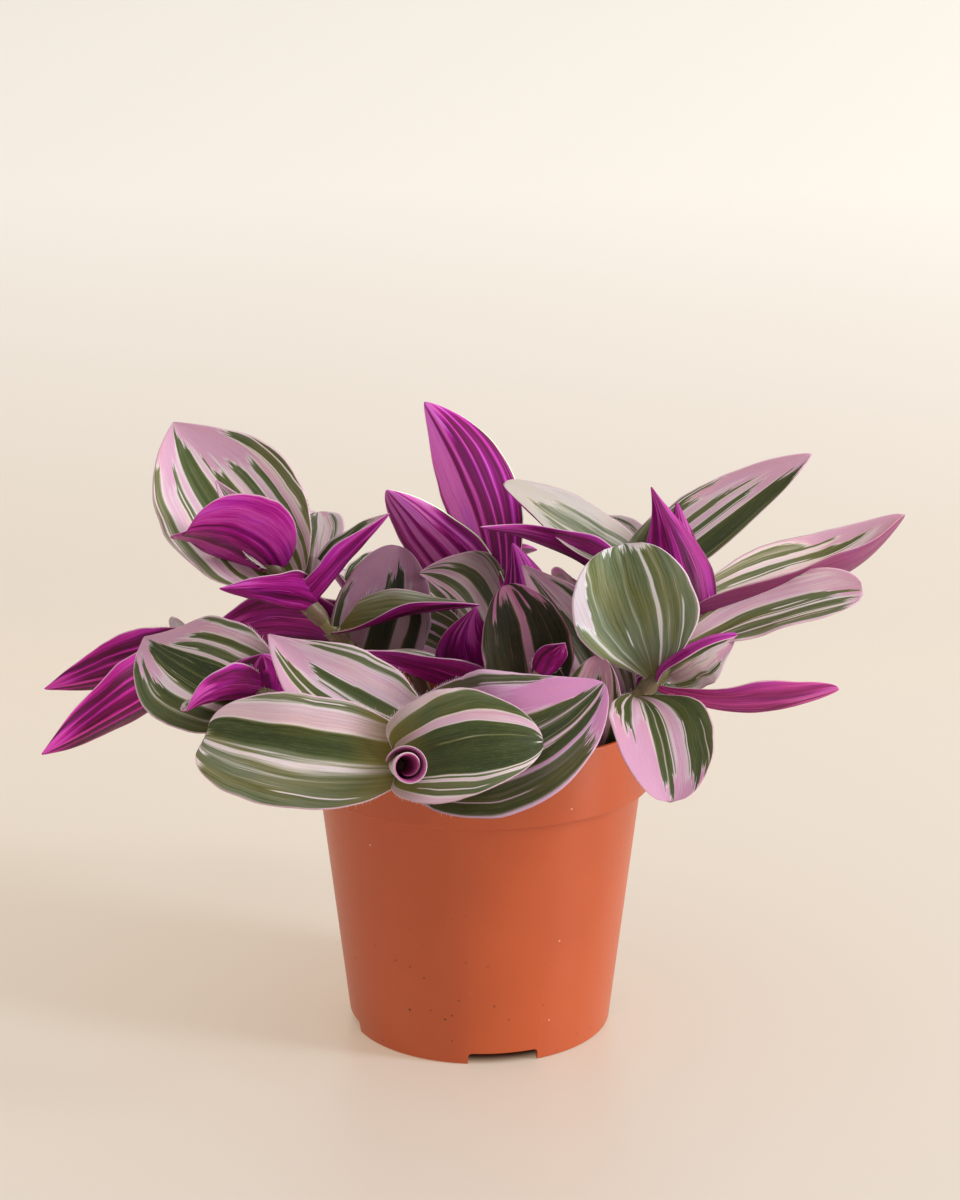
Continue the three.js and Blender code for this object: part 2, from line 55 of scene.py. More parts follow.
def set_camera():
    data = bpy.data.cameras.new("studio_camera")
    data.lens = LENS
    data.sensor_width = SENSOR
    data.sensor_fit = "AUTO"
    data.clip_start = NEAREST
    data.clip_end = FARTHEST
    camera = bpy.data.objects.new("studio_camera", data)
    camera.location = Vector(CAMERA_PLACE) * MM
    camera.rotation_euler = (math.radians(90 - CAMERA_DIP), 0, 0)
    bpy.context.scene.collection.objects.link(camera)
    bpy.context.scene.camera = camera


set_camera()


class Value:
    """What one socket of a node gives. Sums, products and powers of values become maths nodes.

    The value stands first in a product, and a vector is only multiplied by a number.
    """

    def __init__(self, graph, socket):
        self.graph = graph
        self.socket = socket

    def maths(self, operation, first, second):
        if self.socket.type != "VECTOR":
            return self.graph.math(operation, first, second)
        return self.graph.vector("SCALE" if operation == "MULTIPLY" else operation, first, second)

    def __add__(self, other):
        return self.maths("ADD", self, other)

    def __sub__(self, other):
        return self.maths("SUBTRACT", self, other)

    def __rsub__(self, other):
        return self.maths("SUBTRACT", other, self)

    def __mul__(self, other):
        return self.maths("MULTIPLY", self, other)

    def __truediv__(self, other):
        return self.maths("DIVIDE", self, other)

    def __pow__(self, other):
        return self.maths("POWER", self, other)


class Graph:
    """Adds nodes to one tree. Most calls add a single node and give what comes out of it."""

    def __init__(self, tree):
        self.tree = tree

    def put(self, socket, value):
        if isinstance(value, Value):
            self.tree.links.new(value.socket, socket)
        else:
            socket.default_value = (*value, 1) if socket.type == "RGBA" else value

    def node(self, kind, inputs=None, **settings):
        made = self.tree.nodes.new(kind)
        for name, value in settings.items():
            setattr(made, name, value)
        for key, value in (inputs or {}).items():
            self.put(made.inputs[key], value)
        return made

    def new(self, kind, inputs=None, **settings):
        """Adds a node and gives the first of its outputs that is in use."""
        outputs = self.node(kind, inputs, **settings).outputs
        return Value(self, next(output for output in outputs if output.enabled))

    def outputs(self, kind, inputs=None, **settings):
        """Adds a node and gives all its outputs by their names."""
        made = self.node(kind, inputs, **settings)
        return {output.name: Value(self, output) for output in made.outputs}

    def math(self, operation, *values, clamp=False):
        return self.new("ShaderNodeMath", dict(enumerate(values)), operation=operation, use_clamp=clamp)

    def vector(self, operation, *values):
        """Vector maths. A number that scales a vector comes second."""
        second = "Scale" if operation == "SCALE" else 1
        return self.new("ShaderNodeVectorMath", dict(zip((0, second), values)), operation=operation)

    def steps(self, value, low, high, start=0.0, end=1.0):
        """A soft step from the number start, where value is low, to the number end, where it is high."""
        inputs = {"Value": value, "From Min": low, "From Max": high, "To Min": start, "To Max": end}
        return self.new("ShaderNodeMapRange", inputs, interpolation_type="SMOOTHSTEP")

    def apart(self, vector):
        return list(self.outputs("ShaderNodeSeparateXYZ", {0: vector}).values())

    def point(self, x, y, z=0.0):
        return self.new("ShaderNodeCombineXYZ", {0: x, 1: y, 2: z})

    def noise(self, vector, scale, detail=2.0, roughness=0.5):
        inputs = {"Vector": vector, "Scale": scale, "Detail": detail, "Roughness": roughness}
        return self.new("ShaderNodeTexNoise", inputs)

    def lot(self, number, seed):
        """A random number from 0 to 1 for each whole number."""
        place = {"W": self.math("FLOOR", number) + (seed + 0.5)}
        return self.new("ShaderNodeTexWhiteNoise", place, noise_dimensions="1D")

    def specks(self, place, scale, size, share):
        """1 in small round specks, in this share of the cells of a Voronoi pattern."""
        cells = self.outputs("ShaderNodeTexVoronoi", {"Vector": place, "Scale": scale})
        chosen = self.math("LESS_THAN", self.apart(cells["Color"])[0], share)
        return self.steps(cells["Distance"], size * 0.6, size, 1.0, 0.0) * chosen

    def ramp(self, value, stops):
        """The colour or the number that a table of (place from 0 to 1, colour or number) gives."""
        made = self.node("ShaderNodeValToRGB", {0: value})
        elements = made.color_ramp.elements
        while len(elements) < len(stops):
            elements.new(1.0)
        for element, (place, colour) in zip(elements, stops):
            element.position = place
            element.color = (*colour, 1) if isinstance(colour, tuple) else (colour, colour, colour, 1)
        return Value(self, made.outputs[0])

    def blend(self, share, first, second, kind="MIX"):
        inputs = {0: share, 6: first, 7: second}
        return self.new("ShaderNodeMix", inputs, data_type="RGBA", blend_type=kind)

    def join(self, *geometries):
        made = self.node("GeometryNodeJoinGeometry")
        for geometry in geometries:
            self.put(made.inputs[0], geometry)
        return Value(self, made.outputs[0])

    def capture(self, geometry, kind, field):
        """Keeps what a field gives on a geometry. Gives that geometry and the kept values."""
        made = self.node("GeometryNodeCaptureAttribute", {0: geometry})
        made.capture_items.new(kind, "kept")
        self.put(made.inputs[1], field)
        return Value(self, made.outputs[0]), Value(self, made.outputs[1])

    def realized(self, geometry):
        return self.new("GeometryNodeRealizeInstances", {0: geometry})

    def coated(self, geometry, material):
        return self.new("GeometryNodeSetMaterial", {0: geometry, "Material": material})


class Finish(Graph):
    """A material with one Principled shader. A socket's name has _ in place of each space."""

    def __init__(self, name, **sockets):
        self.material = bpy.data.materials.new(name)
        self.material.use_nodes = True
        super().__init__(self.material.node_tree)
        self.set(**sockets)

    def set(self, **sockets):
        shader = self.tree.nodes["Principled BSDF"]
        for name, value in sockets.items():
            self.put(shader.inputs[name.replace("_", " ")], value)

    def bump(self, height, strength, distance):
        inputs = {"Height": height, "Strength": strength, "Distance": distance}
        self.set(Normal=self.new("ShaderNodeBump", inputs))

    def place(self):
        return self.outputs("ShaderNodeTexCoord")["Object"]

    def uv(self):
        """The two numbers of the UV map."""
        return self.apart(self.new("ShaderNodeUVMap", uv_map="UVMap"))[:2]


SOCKETS = {
    "number": "NodeSocketFloat",
    "count": "NodeSocketInt",
    "place": "NodeSocketVector",
    "finish": "NodeSocketMaterial",
    "object": "NodeSocketObject",
}


def shape_tree(name, **inputs):
    """The graph of a new Geometry Nodes tree, and what its inputs give. Their names come by their kind."""
    tree = bpy.data.node_groups.new(name, "GeometryNodeTree")
    for way in ("INPUT", "OUTPUT"):
        tree.interface.new_socket("Geometry", in_out=way, socket_type="NodeSocketGeometry")
    for kind, labels in inputs.items():
        for label in labels:
            tree.interface.new_socket(label, in_out="INPUT", socket_type=SOCKETS[kind])
    graph = Graph(tree)
    return graph, graph.outputs("NodeGroupInput")


def close_tree(graph, geometry):
    graph.node("NodeGroupOutput", {0: geometry})
    return graph.tree


def shape_with(holder, tree, values):
    """Adds a tree to an object as its next modifier, with these values for its named inputs."""
    modifier = holder.modifiers.new(tree.name, "NODES")
    modifier.node_group = tree
    for item in tree.interface.items_tree:
        if item.in_out == "INPUT" and item.name in values:
            modifier[item.identifier] = values[item.name]


def new_object(name, mesh=None):
    made = bpy.data.objects.new(name, mesh or bpy.data.meshes.new(name))
    bpy.context.scene.collection.objects.link(made)
    return made


def keep_mesh(mesh, name):
    data = bpy.data.meshes.new(name)
    mesh.to_mesh(data)
    mesh.free()
    return new_object(name, data)


def plain_mesh(holder):
    """Turns what an object's modifiers make into its own plain mesh."""
    depsgraph = bpy.context.evaluated_depsgraph_get()
    evaluated = holder.evaluated_get(depsgraph)
    mesh = bpy.data.meshes.new_from_object(evaluated, preserve_all_data_layers=True, depsgraph=depsgraph)
    holder.modifiers.clear()
    holder.data = mesh
    mesh.name = holder.name


def finish_piece(piece, slot, *nodes):
    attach(piece, "root")
    if nodes:
        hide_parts(*nodes)


# What a leaf's marks mean, from its pinkest parts (0) to its greenest (1).
UPPER_SHADES = [
    (0.0, (0.64, 0.36, 0.50)),
    (0.18, (0.72, 0.53, 0.61)),
    (0.34, (0.73, 0.64, 0.65)),
    (0.44, (0.38, 0.36, 0.29)),
    (0.52, (0.145, 0.162, 0.082)),
    (0.68, (0.070, 0.090, 0.027)),
    (0.85, (0.036, 0.050, 0.014)),
    (1.0, (0.022, 0.031, 0.009)),
]
# The same for its underside, from bright orchid to dark maroon.
UNDER_SHADES = [
    (0.0, (0.62, 0.075, 0.43)),
    (0.2, (0.47, 0.018, 0.29)),
    (0.4, (0.29, 0.006, 0.165)),
    (0.54, (0.150, 0.006, 0.072)),
    (0.75, (0.062, 0.004, 0.026)),
    (1.0, (0.028, 0.003, 0.011)),
]
# Where soft steps start and end, and for some of them what they start and end with: the level where the
# upper side turns green, its olive patches, its golden foot, its silvery mottle with a painted sheen, and
# the grain of both sides.
GREEN = (0.4, 0.6)
OLIVE = (0.42, 0.68)
OLIVE_SHARE = (0.15, 0.6)
FOOT = (0.04, 0.3)
FOOT_RAGGED = 0.12
SHEEN_MOTTLE = (0.5, 0.8)
SHEEN_MOTTLE_AT_FOOT = 0.06
SHEEN_MOTTLE_TO_TIP = 0.3
UPPER_GRAIN = (0.5, 0.2, 0.0, 0.5)
UNDER_GRAIN = (0.55, 0.25, 0.0, 0.6)
VIOLET = (0.45, 0.7)
SILVER = (0.56, 0.54, 0.48)
SHEEN_MOTTLE_GREEN = (0.30, 0.31, 0.22)
GREEN_GRAIN = (0.72, 0.74, 0.7)
PURPLE_GRAIN = (0.68, 0.6, 0.7)
VIOLET_TINT = (0.94, 1.0, 1.16)
ROSE = (0.60, 0.20, 0.42)
MAUVE = (0.36, 0.13, 0.24)
OLIVE_GOLD = (0.17, 0.125, 0.022)
OLIVE_TINT = (1.3, 1.0, 0.6)
NO_TINT = (1.0, 1.0, 1.0)
# How quickly a shade counts as less pale from the first one on.
PALE_SLOPE = 1.6
# A leaf's pale margin: its colour, pink of its own and paler still as a painted highlight where light
# catches the edge, and where it starts and is full on the way from the rib to the edge.
MARGIN_PINK_AND_HIGHLIGHT = (0.78, 0.52, 0.60)
MARGIN = (0.965, 0.985)
# How many strokes and thin pale lines half a leaf has room for.
STROKES = 9.0
LINES = 24.0
# How much the lines of the marks wander, and how closely that repeats.
WANDER = 0.16
WANDER_SCALE = 2.2
# How strongly broad and fine streaks show, how much of the fine ones shows on every leaf, and how much
# more of them an underside shows.
BROAD_EFFECT = 2.2
FINE_EFFECT = 0.7
FINE_LEAST = 0.2
UNDER_FINE = 0.2
# How far the strokes' ends lie apart, with a table of ends and without one, and how blunt they are.
MARKED_END_SPREAD = 0.2
END_SPREAD = 0.5
FINE_END_SPREAD = 0.35
BLUNT = (-0.03, 0.03)
# A thin pale line: how it fades from its middle, how pale it is, its latest start, its shortest length,
# how much longer it may be, and how softly it starts and ends.
LINE_FADE = (0.12, 0.42)
LINE_PALENESS = 0.3
LINE_LATEST = 0.6
LINE_SHORTEST = 0.2
LINE_LONGER = 0.5
LINE_START = 0.06
LINE_END = 0.1
# How closely each pattern repeats, along the leaf and across its lines, then its detail and roughness.
BROAD_STREAKS = (1.6, 8.0, 2.0, 0.55)
FINE_STREAKS = (2.4, 36.0, 2.0, 0.55)
GRAIN = (16.0, 60.0, 3.0, 0.7)
OLIVE_PATCHES = (2.0, 3.0, 2.0, 0.5)
VIOLET_CLOUDS = (2.5, 3.5, 1.0, 0.5)
LEAF_SHINE = 0.2
SKIN_CELLS = 1400.0
SKIN_SPREAD = 0.3
SKIN_BUMP = (0.4, 0.0004)


class LeafSide(Finish):
    """One side of a leaf, whose marks follow lines that run from the leaf's foot to its tip.

    A straight share makes the lines run out at the edges instead, fan spreads them from the foot and
    slant lays them askew.
    """

    def __init__(self, name, seed, fan, slant, straight):
        super().__init__(name, Specular_IOR_Level=LEAF_SHINE)
        self.seed = seed
        self.along, width = self.uv()
        self.across = width * 2.0 - 1.0
        bow = self.along * (1.0 - self.along) * 4.0
        spread = ((0.5 - self.along) * fan + 1.0) * self.math("MAXIMUM", bow, 0.0) ** straight
        drift = self.noise(self.point(self.along + seed, self.across), WANDER_SCALE, 1.0) - 0.5
        self.line = self.across * spread - (self.along - 0.5) * slant + drift * WANDER

    def pattern(self, length, spacing, detail, roughness):
        """Noise drawn out along the lines, from 0 to 1."""
        place = self.point(self.along * length + self.seed, self.line * spacing)
        return self.noise(place, 1.0, detail, roughness)

    def thin_lines(self, line, seed, share):
        """1 on thin broken lines along the leaf, in this share of the places there is room for."""
        number = line * LINES
        middle = self.math("ABSOLUTE", self.math("FRACT", number) - 0.5)
        thin = self.steps(middle, *LINE_FADE, 1.0, 0.0)
        chosen = self.math("LESS_THAN", self.lot(number, seed), share)
        start = self.lot(number, seed + 100) * LINE_LATEST
        end = start + (self.lot(number, seed + 200) * LINE_LONGER + LINE_SHORTEST)
        run = self.steps(self.along - start, 0.0, LINE_START) * self.steps(end - self.along, 0.0, LINE_END)
        return thin * chosen * run

    def across_ramp(self, table):
        """The number a table of (place across from -1 to 1, number) gives on each line."""
        return self.ramp(self.line * 0.5 + 0.5, [((place + 1) / 2, number) for place, number in table])

    def levels(self, marks, streaks, ragged, tip, ends, lines):
        """How green or how dark the leaf is at each place, and its fine streaks.

        Its strokes end bluntly, each at its own place near the tip, or where ends says for that part.
        """
        broad = self.pattern(*BROAD_STREAKS) - 0.5
        fine = self.pattern(*FINE_STREAKS) - 0.5
        level = self.across_ramp(marks) + broad * (streaks * BROAD_EFFECT)
        level = level + fine * (FINE_LEAST + streaks * FINE_EFFECT)
        shift = self.lot(self.line * STROKES + broad * 2.0, self.seed + 20) - 0.5
        shift = shift * (MARKED_END_SPREAD if ends else END_SPREAD) + fine * FINE_END_SPREAD
        reach = self.along + shift * ragged
        if ends:
            fade = self.steps(reach - self.across_ramp(ends), *BLUNT, 1.0, 0.0)
        else:
            fade = self.steps(reach, *tip, 1.0, 0.0)
        pale = self.thin_lines(self.line + broad * 0.04, self.seed + 40, lines)
        return level * fade - pale * LINE_PALENESS, fine

    def cover(self, colour, tint, fine, margin, spots, roughness):
        """Adds the margin, partly a painted highlight, and a tint to the colour, which darkens some leaves
        as painted shade and brightens one as painted light, and the fine ribs and glistening cells of the
        skin.
        """
        edge = self.steps(self.math("ABSOLUTE", self.across), *MARGIN) * margin
        cells = self.noise(self.place(), SKIN_CELLS)
        colour = self.blend(1.0, self.blend(edge, colour, MARGIN_PINK_AND_HIGHLIGHT), tint, "MULTIPLY")
        self.set(Base_Color=colour, Roughness=cells * SKIN_SPREAD + roughness)
        self.bump(fine + cells * spots, *SKIN_BUMP)
        return self.material


def tinted_shades(shades, towards, share):
    """The same shades with the pale ones moved towards another colour."""
    tinted = []
    for place, colour in shades:
        part = share * max(0, 1 - place * PALE_SLOPE)
        tinted.append((place, tuple(c + (t - c) * part for c, t in zip(colour, towards))))
    return tinted


def leaf_upper(name, marks, streaks=0.4, ragged=0.6, fan=0.0, slant=0.0, straight=0.15, tip=(0.82, 0.9),
               ends=None, lines=0.14, silver=0.0, rose=0.0, gold=0.35, tint=NO_TINT, seed=0.0):
    """A striped upper side with a golden foot, olive patches, and a silvery mottle, partly a painted
    sheen, that grows towards its tip.

    Silver and rose move its pale parts towards those colours.
    """
    side = LeafSide(name, seed, fan, slant, straight)
    level, fine = side.levels(marks, streaks, ragged, tip, ends, lines)
    colour = side.ramp(level, tinted_shades(tinted_shades(UPPER_SHADES, SILVER, silver), ROSE, rose))
    olive = side.steps(side.pattern(*OLIVE_PATCHES), *OLIVE) * side.steps(level, *GREEN, *OLIVE_SHARE)
    colour = side.blend(olive, colour, OLIVE_TINT, "MULTIPLY")
    foot = side.steps(side.along + fine * FOOT_RAGGED, *FOOT, gold, 0.0)
    colour = side.blend(foot, colour, OLIVE_GOLD)
    grain = side.pattern(*GRAIN)
    # A silvery mottle that grows towards the tip, partly a painted sheen.
    sheen_mottle = side.steps(grain, *SHEEN_MOTTLE) * (side.along * SHEEN_MOTTLE_TO_TIP + SHEEN_MOTTLE_AT_FOOT)
    colour = side.blend(sheen_mottle * side.steps(level, *GREEN), colour, SHEEN_MOTTLE_GREEN)
    colour = side.blend(side.steps(grain, *UPPER_GRAIN), colour, GREEN_GRAIN, "MULTIPLY")
    return side.cover(colour, tint, fine, margin=0.9, spots=0.25, roughness=0.3)


def leaf_under(name, marks, streaks=0.35, ragged=0.9, fan=0.0, slant=0.0, straight=0.1, tip=(0.72, 0.9),
               ends=None, lines=0.1, mauve=0.0, tint=NO_TINT, seed=0.0):
    """A purple underside with violet clouds. Mauve moves its pale parts towards that colour."""
    side = LeafSide(name, seed, fan, slant, straight)
    level, fine = side.levels(marks, streaks, ragged, tip, ends, lines)
    colour = side.ramp(level + fine * UNDER_FINE, tinted_shades(UNDER_SHADES, MAUVE, mauve))
    colour = side.blend(side.steps(side.pattern(*GRAIN), *UNDER_GRAIN), colour, PURPLE_GRAIN, "MULTIPLY")
    colour = side.blend(side.steps(side.pattern(*VIOLET_CLOUDS), *VIOLET), colour, VIOLET_TINT, "MULTIPLY")
    return side.cover(colour, tint, fine, margin=0.8, spots=0.2, roughness=0.27)


# The marks of the usual leaves: places across the blade from -1 to 1, and how green or dark it is there.
STRIPED = [(-1, 0.3), (-0.9, 0.7), (-0.7, 0.75), (-0.58, 0.3), (-0.45, 0.2), (-0.36, 0.8), (0, 0.85),
           (0.3, 0.8), (0.4, 0.25), (0.52, 0.3), (0.6, 0.7), (0.85, 0.6), (1, 0.2)]
PALE_STRIPED = [(-1, 0.2), (-0.8, 0.5), (-0.6, 0.1), (-0.3, 0.2), (-0.2, 0.65), (0.1, 0.75), (0.25, 0.3),
                (0.5, 0.15), (0.7, 0.6), (0.85, 0.4), (1, 0.1)]
PURPLE = [(-1, 0.25), (-0.7, 0.5), (-0.3, 0.3), (0, 0.5), (0.3, 0.35), (0.6, 0.6), (1, 0.3)]

UPPERS = {
    "usual": dict(marks=STRIPED, seed=3.1),
    "pale": dict(marks=PALE_STRIPED, seed=7.7),
    "front_back_leaf": dict(
        marks=[(-1, 0.3), (-0.94, 0.62), (-0.84, 0.6), (-0.78, 0.1), (-0.6, 0.12), (-0.54, 0.56),
               (-0.42, 0.64), (-0.36, 0.3), (-0.3, 0.62), (-0.2, 0.68), (-0.14, 0.2), (-0.06, 0.16),
               (-0.02, 0.6), (0.04, 0.3), (0.08, 0.64), (0.26, 0.68), (0.32, 0.15), (0.6, 0.1),
               (0.7, 0.16), (0.76, 0.54), (0.84, 0.56), (0.88, 0.2), (0.92, 0.58), (1, 0.2)],
        ends=[(-1, 0.6), (-0.8, 0.5), (-0.5, 0.86), (-0.3, 0.88), (-0.2, 0.8), (0, 0.58), (0.1, 0.72),
              (0.26, 0.76), (0.4, 0.7), (0.55, 0.9), (0.7, 0.85), (1, 0.75)],
        streaks=0.16, slant=-0.15, gold=0.2, seed=1.3),
    "front_right_leaf": dict(
        marks=[(-1, 0), (-0.96, 0.3), (-0.92, 0.66), (-0.8, 0.6), (-0.74, 0.15), (-0.46, 0.05),
               (-0.3, 0.3), (-0.24, 0.75), (-0.1, 0.8), (-0.04, 0.4), (0.02, 0.8), (0.16, 0.85),
               (0.22, 0.3), (0.3, 0.8), (0.44, 0.8), (0.5, 0.15), (0.56, 0.62), (0.9, 0.7), (0.96, 0.3),
               (1, 0)],
        ends=[(-1, 0.85), (-0.8, 0.78), (-0.5, 0.4), (-0.24, 0.9), (0.1, 0.97), (0.5, 0.93), (0.6, 0.85),
              (1, 0.7)],
        streaks=0.16, ragged=0.7, rose=0.6, tint=(0.88, 0.83, 0.94), seed=5.2),
    "front_left_leaf": dict(
        marks=[(-1, 0.5), (-0.9, 0.6), (-0.5, 0.58), (-0.44, 0.48), (-0.38, 0.6), (-0.28, 0.5),
               (-0.2, 0.34), (-0.15, 0.28), (-0.1, 0.52), (-0.05, 0.4), (0.0, 0.62), (0.05, 0.8),
               (0.4, 0.82), (0.46, 0.3), (0.5, 0.05), (0.74, 0.04), (0.8, 0.4), (0.87, 0.6), (1, 0.45)],
        streaks=0.16, ragged=0.3, slant=0.22, silver=0.4, tip=(0.96, 1.1), lines=0.06, gold=0.8,
        tint=(1.22, 1.2, 1.24), seed=9.4),
    "front_middle_leaf": dict(
        marks=[(-1, 0.2), (-0.94, 0.56), (-0.62, 0.66), (-0.57, 0.08), (-0.43, 0.06), (-0.38, 0.74),
               (-0.1, 0.86), (0.1, 0.8), (0.3, 0.88), (0.5, 0.8), (0.54, 0.25), (0.58, 0.6), (0.63, 0.1),
               (0.68, 0.56), (0.93, 0.6), (1, 0.1)],
        streaks=0.1, ragged=0.3, lines=0.08, fan=0.7, straight=0.05, tip=(0.97, 1.1), gold=0.6, seed=2.6),
    "left_front_leaf": dict(
        marks=[(-1, 0.4), (-0.92, 0.7), (-0.74, 0.66), (-0.68, 0.4), (-0.62, 0.66), (-0.5, 0.72),
               (-0.44, 0.3), (-0.36, 0.16), (-0.3, 0.5), (-0.22, 0.8), (0.0, 0.86), (0.04, 0.6),
               (0.08, 0.86), (0.28, 0.86), (0.34, 0.15), (0.4, 0.7), (0.48, 0.68), (0.54, 0.12),
               (0.62, 0.62), (0.7, 0.6), (0.76, 0.1), (0.86, 0.12), (0.92, 0.6), (1, 0.5)],
        ends=[(-1, 0.85), (-0.6, 0.78), (-0.4, 0.6), (-0.2, 0.9), (0.2, 0.93), (0.35, 0.8), (0.5, 0.7),
              (0.65, 0.58), (0.8, 0.5), (1, 0.62)],
        streaks=0.2, slant=0.1, ragged=0.8, gold=0.5, seed=4.8),
    "top_left_leaf": dict(
        marks=[(-1, 0.5), (-0.8, 0.52), (-0.74, 0.12), (-0.6, 0.12), (-0.55, 0.6), (-0.48, 0.58),
               (-0.43, 0.12), (-0.34, 0.12), (-0.29, 0.66), (-0.04, 0.72), (0.01, 0.14), (0.06, 0.14),
               (0.1, 0.66), (0.22, 0.7), (0.27, 0.12), (0.33, 0.12), (0.38, 0.66), (0.46, 0.66),
               (0.51, 0.12), (0.57, 0.12), (0.61, 0.6), (0.67, 0.6), (0.71, 0.12), (0.76, 0.14),
               (0.81, 0.58), (1, 0.62)],
        ends=[(-1, 0.8), (-0.8, 0.78), (-0.55, 0.72), (-0.4, 0.72), (-0.3, 0.92), (-0.04, 0.92),
              (0.04, 0.8), (0.1, 0.68), (0.46, 0.67), (0.55, 0.64), (0.67, 0.62), (0.78, 0.7), (1, 0.72)],
        streaks=0.16, ragged=0.8, straight=0.2, rose=0.12, gold=0.4, tint=(1.2, 1.24, 1.2), seed=6.1),
    # Its dark tint is painted shade, for a leaf deep in the foliage.
    "shaded_left_leaf": dict(
        marks=[(-1, 0.6), (-0.8, 0.6), (-0.7, 0.15), (-0.2, 0.12), (-0.12, 0.8), (0.26, 0.95),
               (0.34, 0.3), (0.5, 0.2), (0.58, 0.8), (0.76, 0.85), (0.84, 0.25), (1, 0.4)],
        ends=[(-1, 0.6), (-0.5, 0.5), (0.1, 0.8), (0.6, 0.7), (1, 0.5)],
        streaks=0.2, ragged=0.8, tint=(0.38, 0.3, 0.34), seed=8.3),
    "lilac_banded_leaf": dict(
        marks=[(-1, 0.6), (-0.85, 0.75), (-0.66, 0.7), (-0.58, 0.2), (-0.1, 0.15), (0.04, 0.7),
               (0.3, 0.75), (0.4, 0.3), (0.6, 0.2), (0.7, 0.7), (0.9, 0.7), (1, 0.5)],
        streaks=0.34, ragged=0.8, tip=(0.8, 0.95), tint=(0.75, 0.66, 0.7), seed=8.9),
    # Its dark tint is painted shade, for leaves inside the foliage.
    "inner_leaf": dict(marks=PALE_STRIPED, ragged=0.9, tint=(0.5, 0.42, 0.44), gold=0.1, seed=2.9),
    # Its dark tint is painted shade, for a leaf inside the foliage.
    "diagonal_leaf": dict(
        marks=[(-1, 0.2), (-0.8, 0.62), (-0.62, 0.6), (-0.54, 0.15), (-0.36, 0.1), (-0.28, 0.62),
               (-0.04, 0.66), (0.04, 0.15), (0.2, 0.15), (0.28, 0.66), (0.5, 0.66), (0.6, 0.2),
               (0.8, 0.2), (0.9, 0.6), (1, 0.4)],
        streaks=0.3, ragged=0.9, slant=0.5, tip=(0.84, 0.95), tint=(0.54, 0.48, 0.48), seed=4.1),
    "olive_leaf": dict(
        marks=[(-1, 0.5), (-0.6, 0.55), (0, 0.66), (0.4, 0.62), (0.6, 0.5), (0.8, 0.6), (1, 0.4)],
        streaks=0.2, silver=0.5, gold=0.7, tip=(1.0, 1.2), seed=5.0),
    "right_top_leaf": dict(
        marks=[(-1, 0.5), (-0.94, 0.62), (-0.72, 0.62), (-0.66, 0.12), (-0.58, 0.12), (-0.52, 0.62),
               (-0.4, 0.62), (-0.34, 0.1), (-0.24, 0.1), (-0.18, 0.64), (-0.04, 0.64), (0.02, 0.12),
               (0.1, 0.14), (0.16, 0.76), (0.7, 0.86), (0.86, 0.8), (1, 0.5)],
        ends=[(-1, 0.5), (-0.8, 0.5), (-0.52, 0.62), (-0.25, 0.72), (0, 0.66), (0.12, 0.84), (0.5, 0.96),
              (1, 0.98)],
        streaks=0.14, ragged=0.9, slant=-0.1, gold=0.7, tint=(1.28, 1.28, 1.28), seed=3.9),
    "silver_leaf": dict(
        marks=[(-1, 0.3), (-0.84, 0.5), (-0.6, 0.54), (-0.3, 0.56), (-0.24, 0.4), (-0.18, 0.56),
               (0, 0.56), (0.06, 0.36), (0.12, 0.56), (0.4, 0.55), (0.5, 0.4), (0.56, 0.52), (0.62, 0.5),
               (0.7, 0.22), (1, 0.2)],
        ends=[(-1, 0.5), (-0.6, 0.56), (-0.3, 0.66), (0.0, 0.72), (0.3, 0.8), (0.6, 0.7), (1, 0.8)],
        streaks=0.18, ragged=0.9, silver=0.85, gold=0.2, lines=0.05, tint=(0.92, 0.93, 0.9), seed=6.6),
    "rim_leaf": dict(
        marks=[(-1, 0.6), (-0.9, 0.68), (-0.5, 0.7), (-0.42, 0.3), (-0.36, 0.08), (-0.22, 0.1),
               (-0.16, 0.62), (-0.04, 0.74), (-0.01, 0.4), (0.02, 0.74), (0.1, 0.72), (0.16, 0.2),
               (0.2, 0.6), (0.26, 0.12), (0.46, 0.08), (0.5, 0.5), (0.56, 0.72), (0.66, 0.7), (0.7, 0.3),
               (0.74, 0.7), (0.88, 0.7), (0.93, 0.2), (1, 0.1)],
        ends=[(-1, 0.9), (-0.5, 0.86), (-0.1, 0.95), (0.1, 0.97), (0.2, 0.5), (0.3, 0.5), (0.55, 0.7),
              (0.7, 0.62), (1, 0.5)],
        streaks=0.16, ragged=0.8, straight=0.25, rose=0.25, gold=0.6, seed=5.9),
    "furled": dict(
        marks=[(-1, 0.1), (0, 0.3), (1, 0.15)],
        streaks=0.15, silver=0.4, tip=(1.3, 1.5), gold=0.0, seed=1.0),
    "furled_inside": dict(
        marks=[(-1, 0.0), (0, 0.02), (0.5, 0.1), (1, 0.3)],
        streaks=0.15, rose=1.0, tip=(1.3, 1.5), gold=0.0, lines=0.0, tint=(0.9, 0.62, 0.85), seed=4.5),
    "round_right_leaf": dict(
        marks=[(-1, 0.5), (-0.9, 0.56), (-0.84, 0.5), (-0.8, 0.36), (-0.76, 0.52), (-0.6, 0.58),
               (-0.54, 0.48), (-0.5, 0.56), (-0.1, 0.6), (-0.05, 0.5), (0.0, 0.6), (0.3, 0.6),
               (0.34, 0.2), (0.39, 0.58), (0.47, 0.58), (0.5, 0.48), (0.54, 0.58), (0.66, 0.62),
               (0.72, 0.52), (0.78, 0.6), (1, 0.5)],
        ends=[(-1, 0.8), (-0.94, 0.6), (-0.74, 0.54), (-0.62, 0.76), (-0.52, 0.97), (0, 1), (1, 1)],
        streaks=0.12, ragged=0.5, slant=-0.2, straight=0.3, silver=0.6, lines=0.03, gold=0.5,
        tint=(1.3, 1.46, 1.54), seed=7.1),
    "long_right_leaf": dict(
        marks=[(-1, 0.3), (-0.95, 0.52), (-0.8, 0.54), (-0.72, 0.12), (-0.34, 0.1), (-0.26, 0.56),
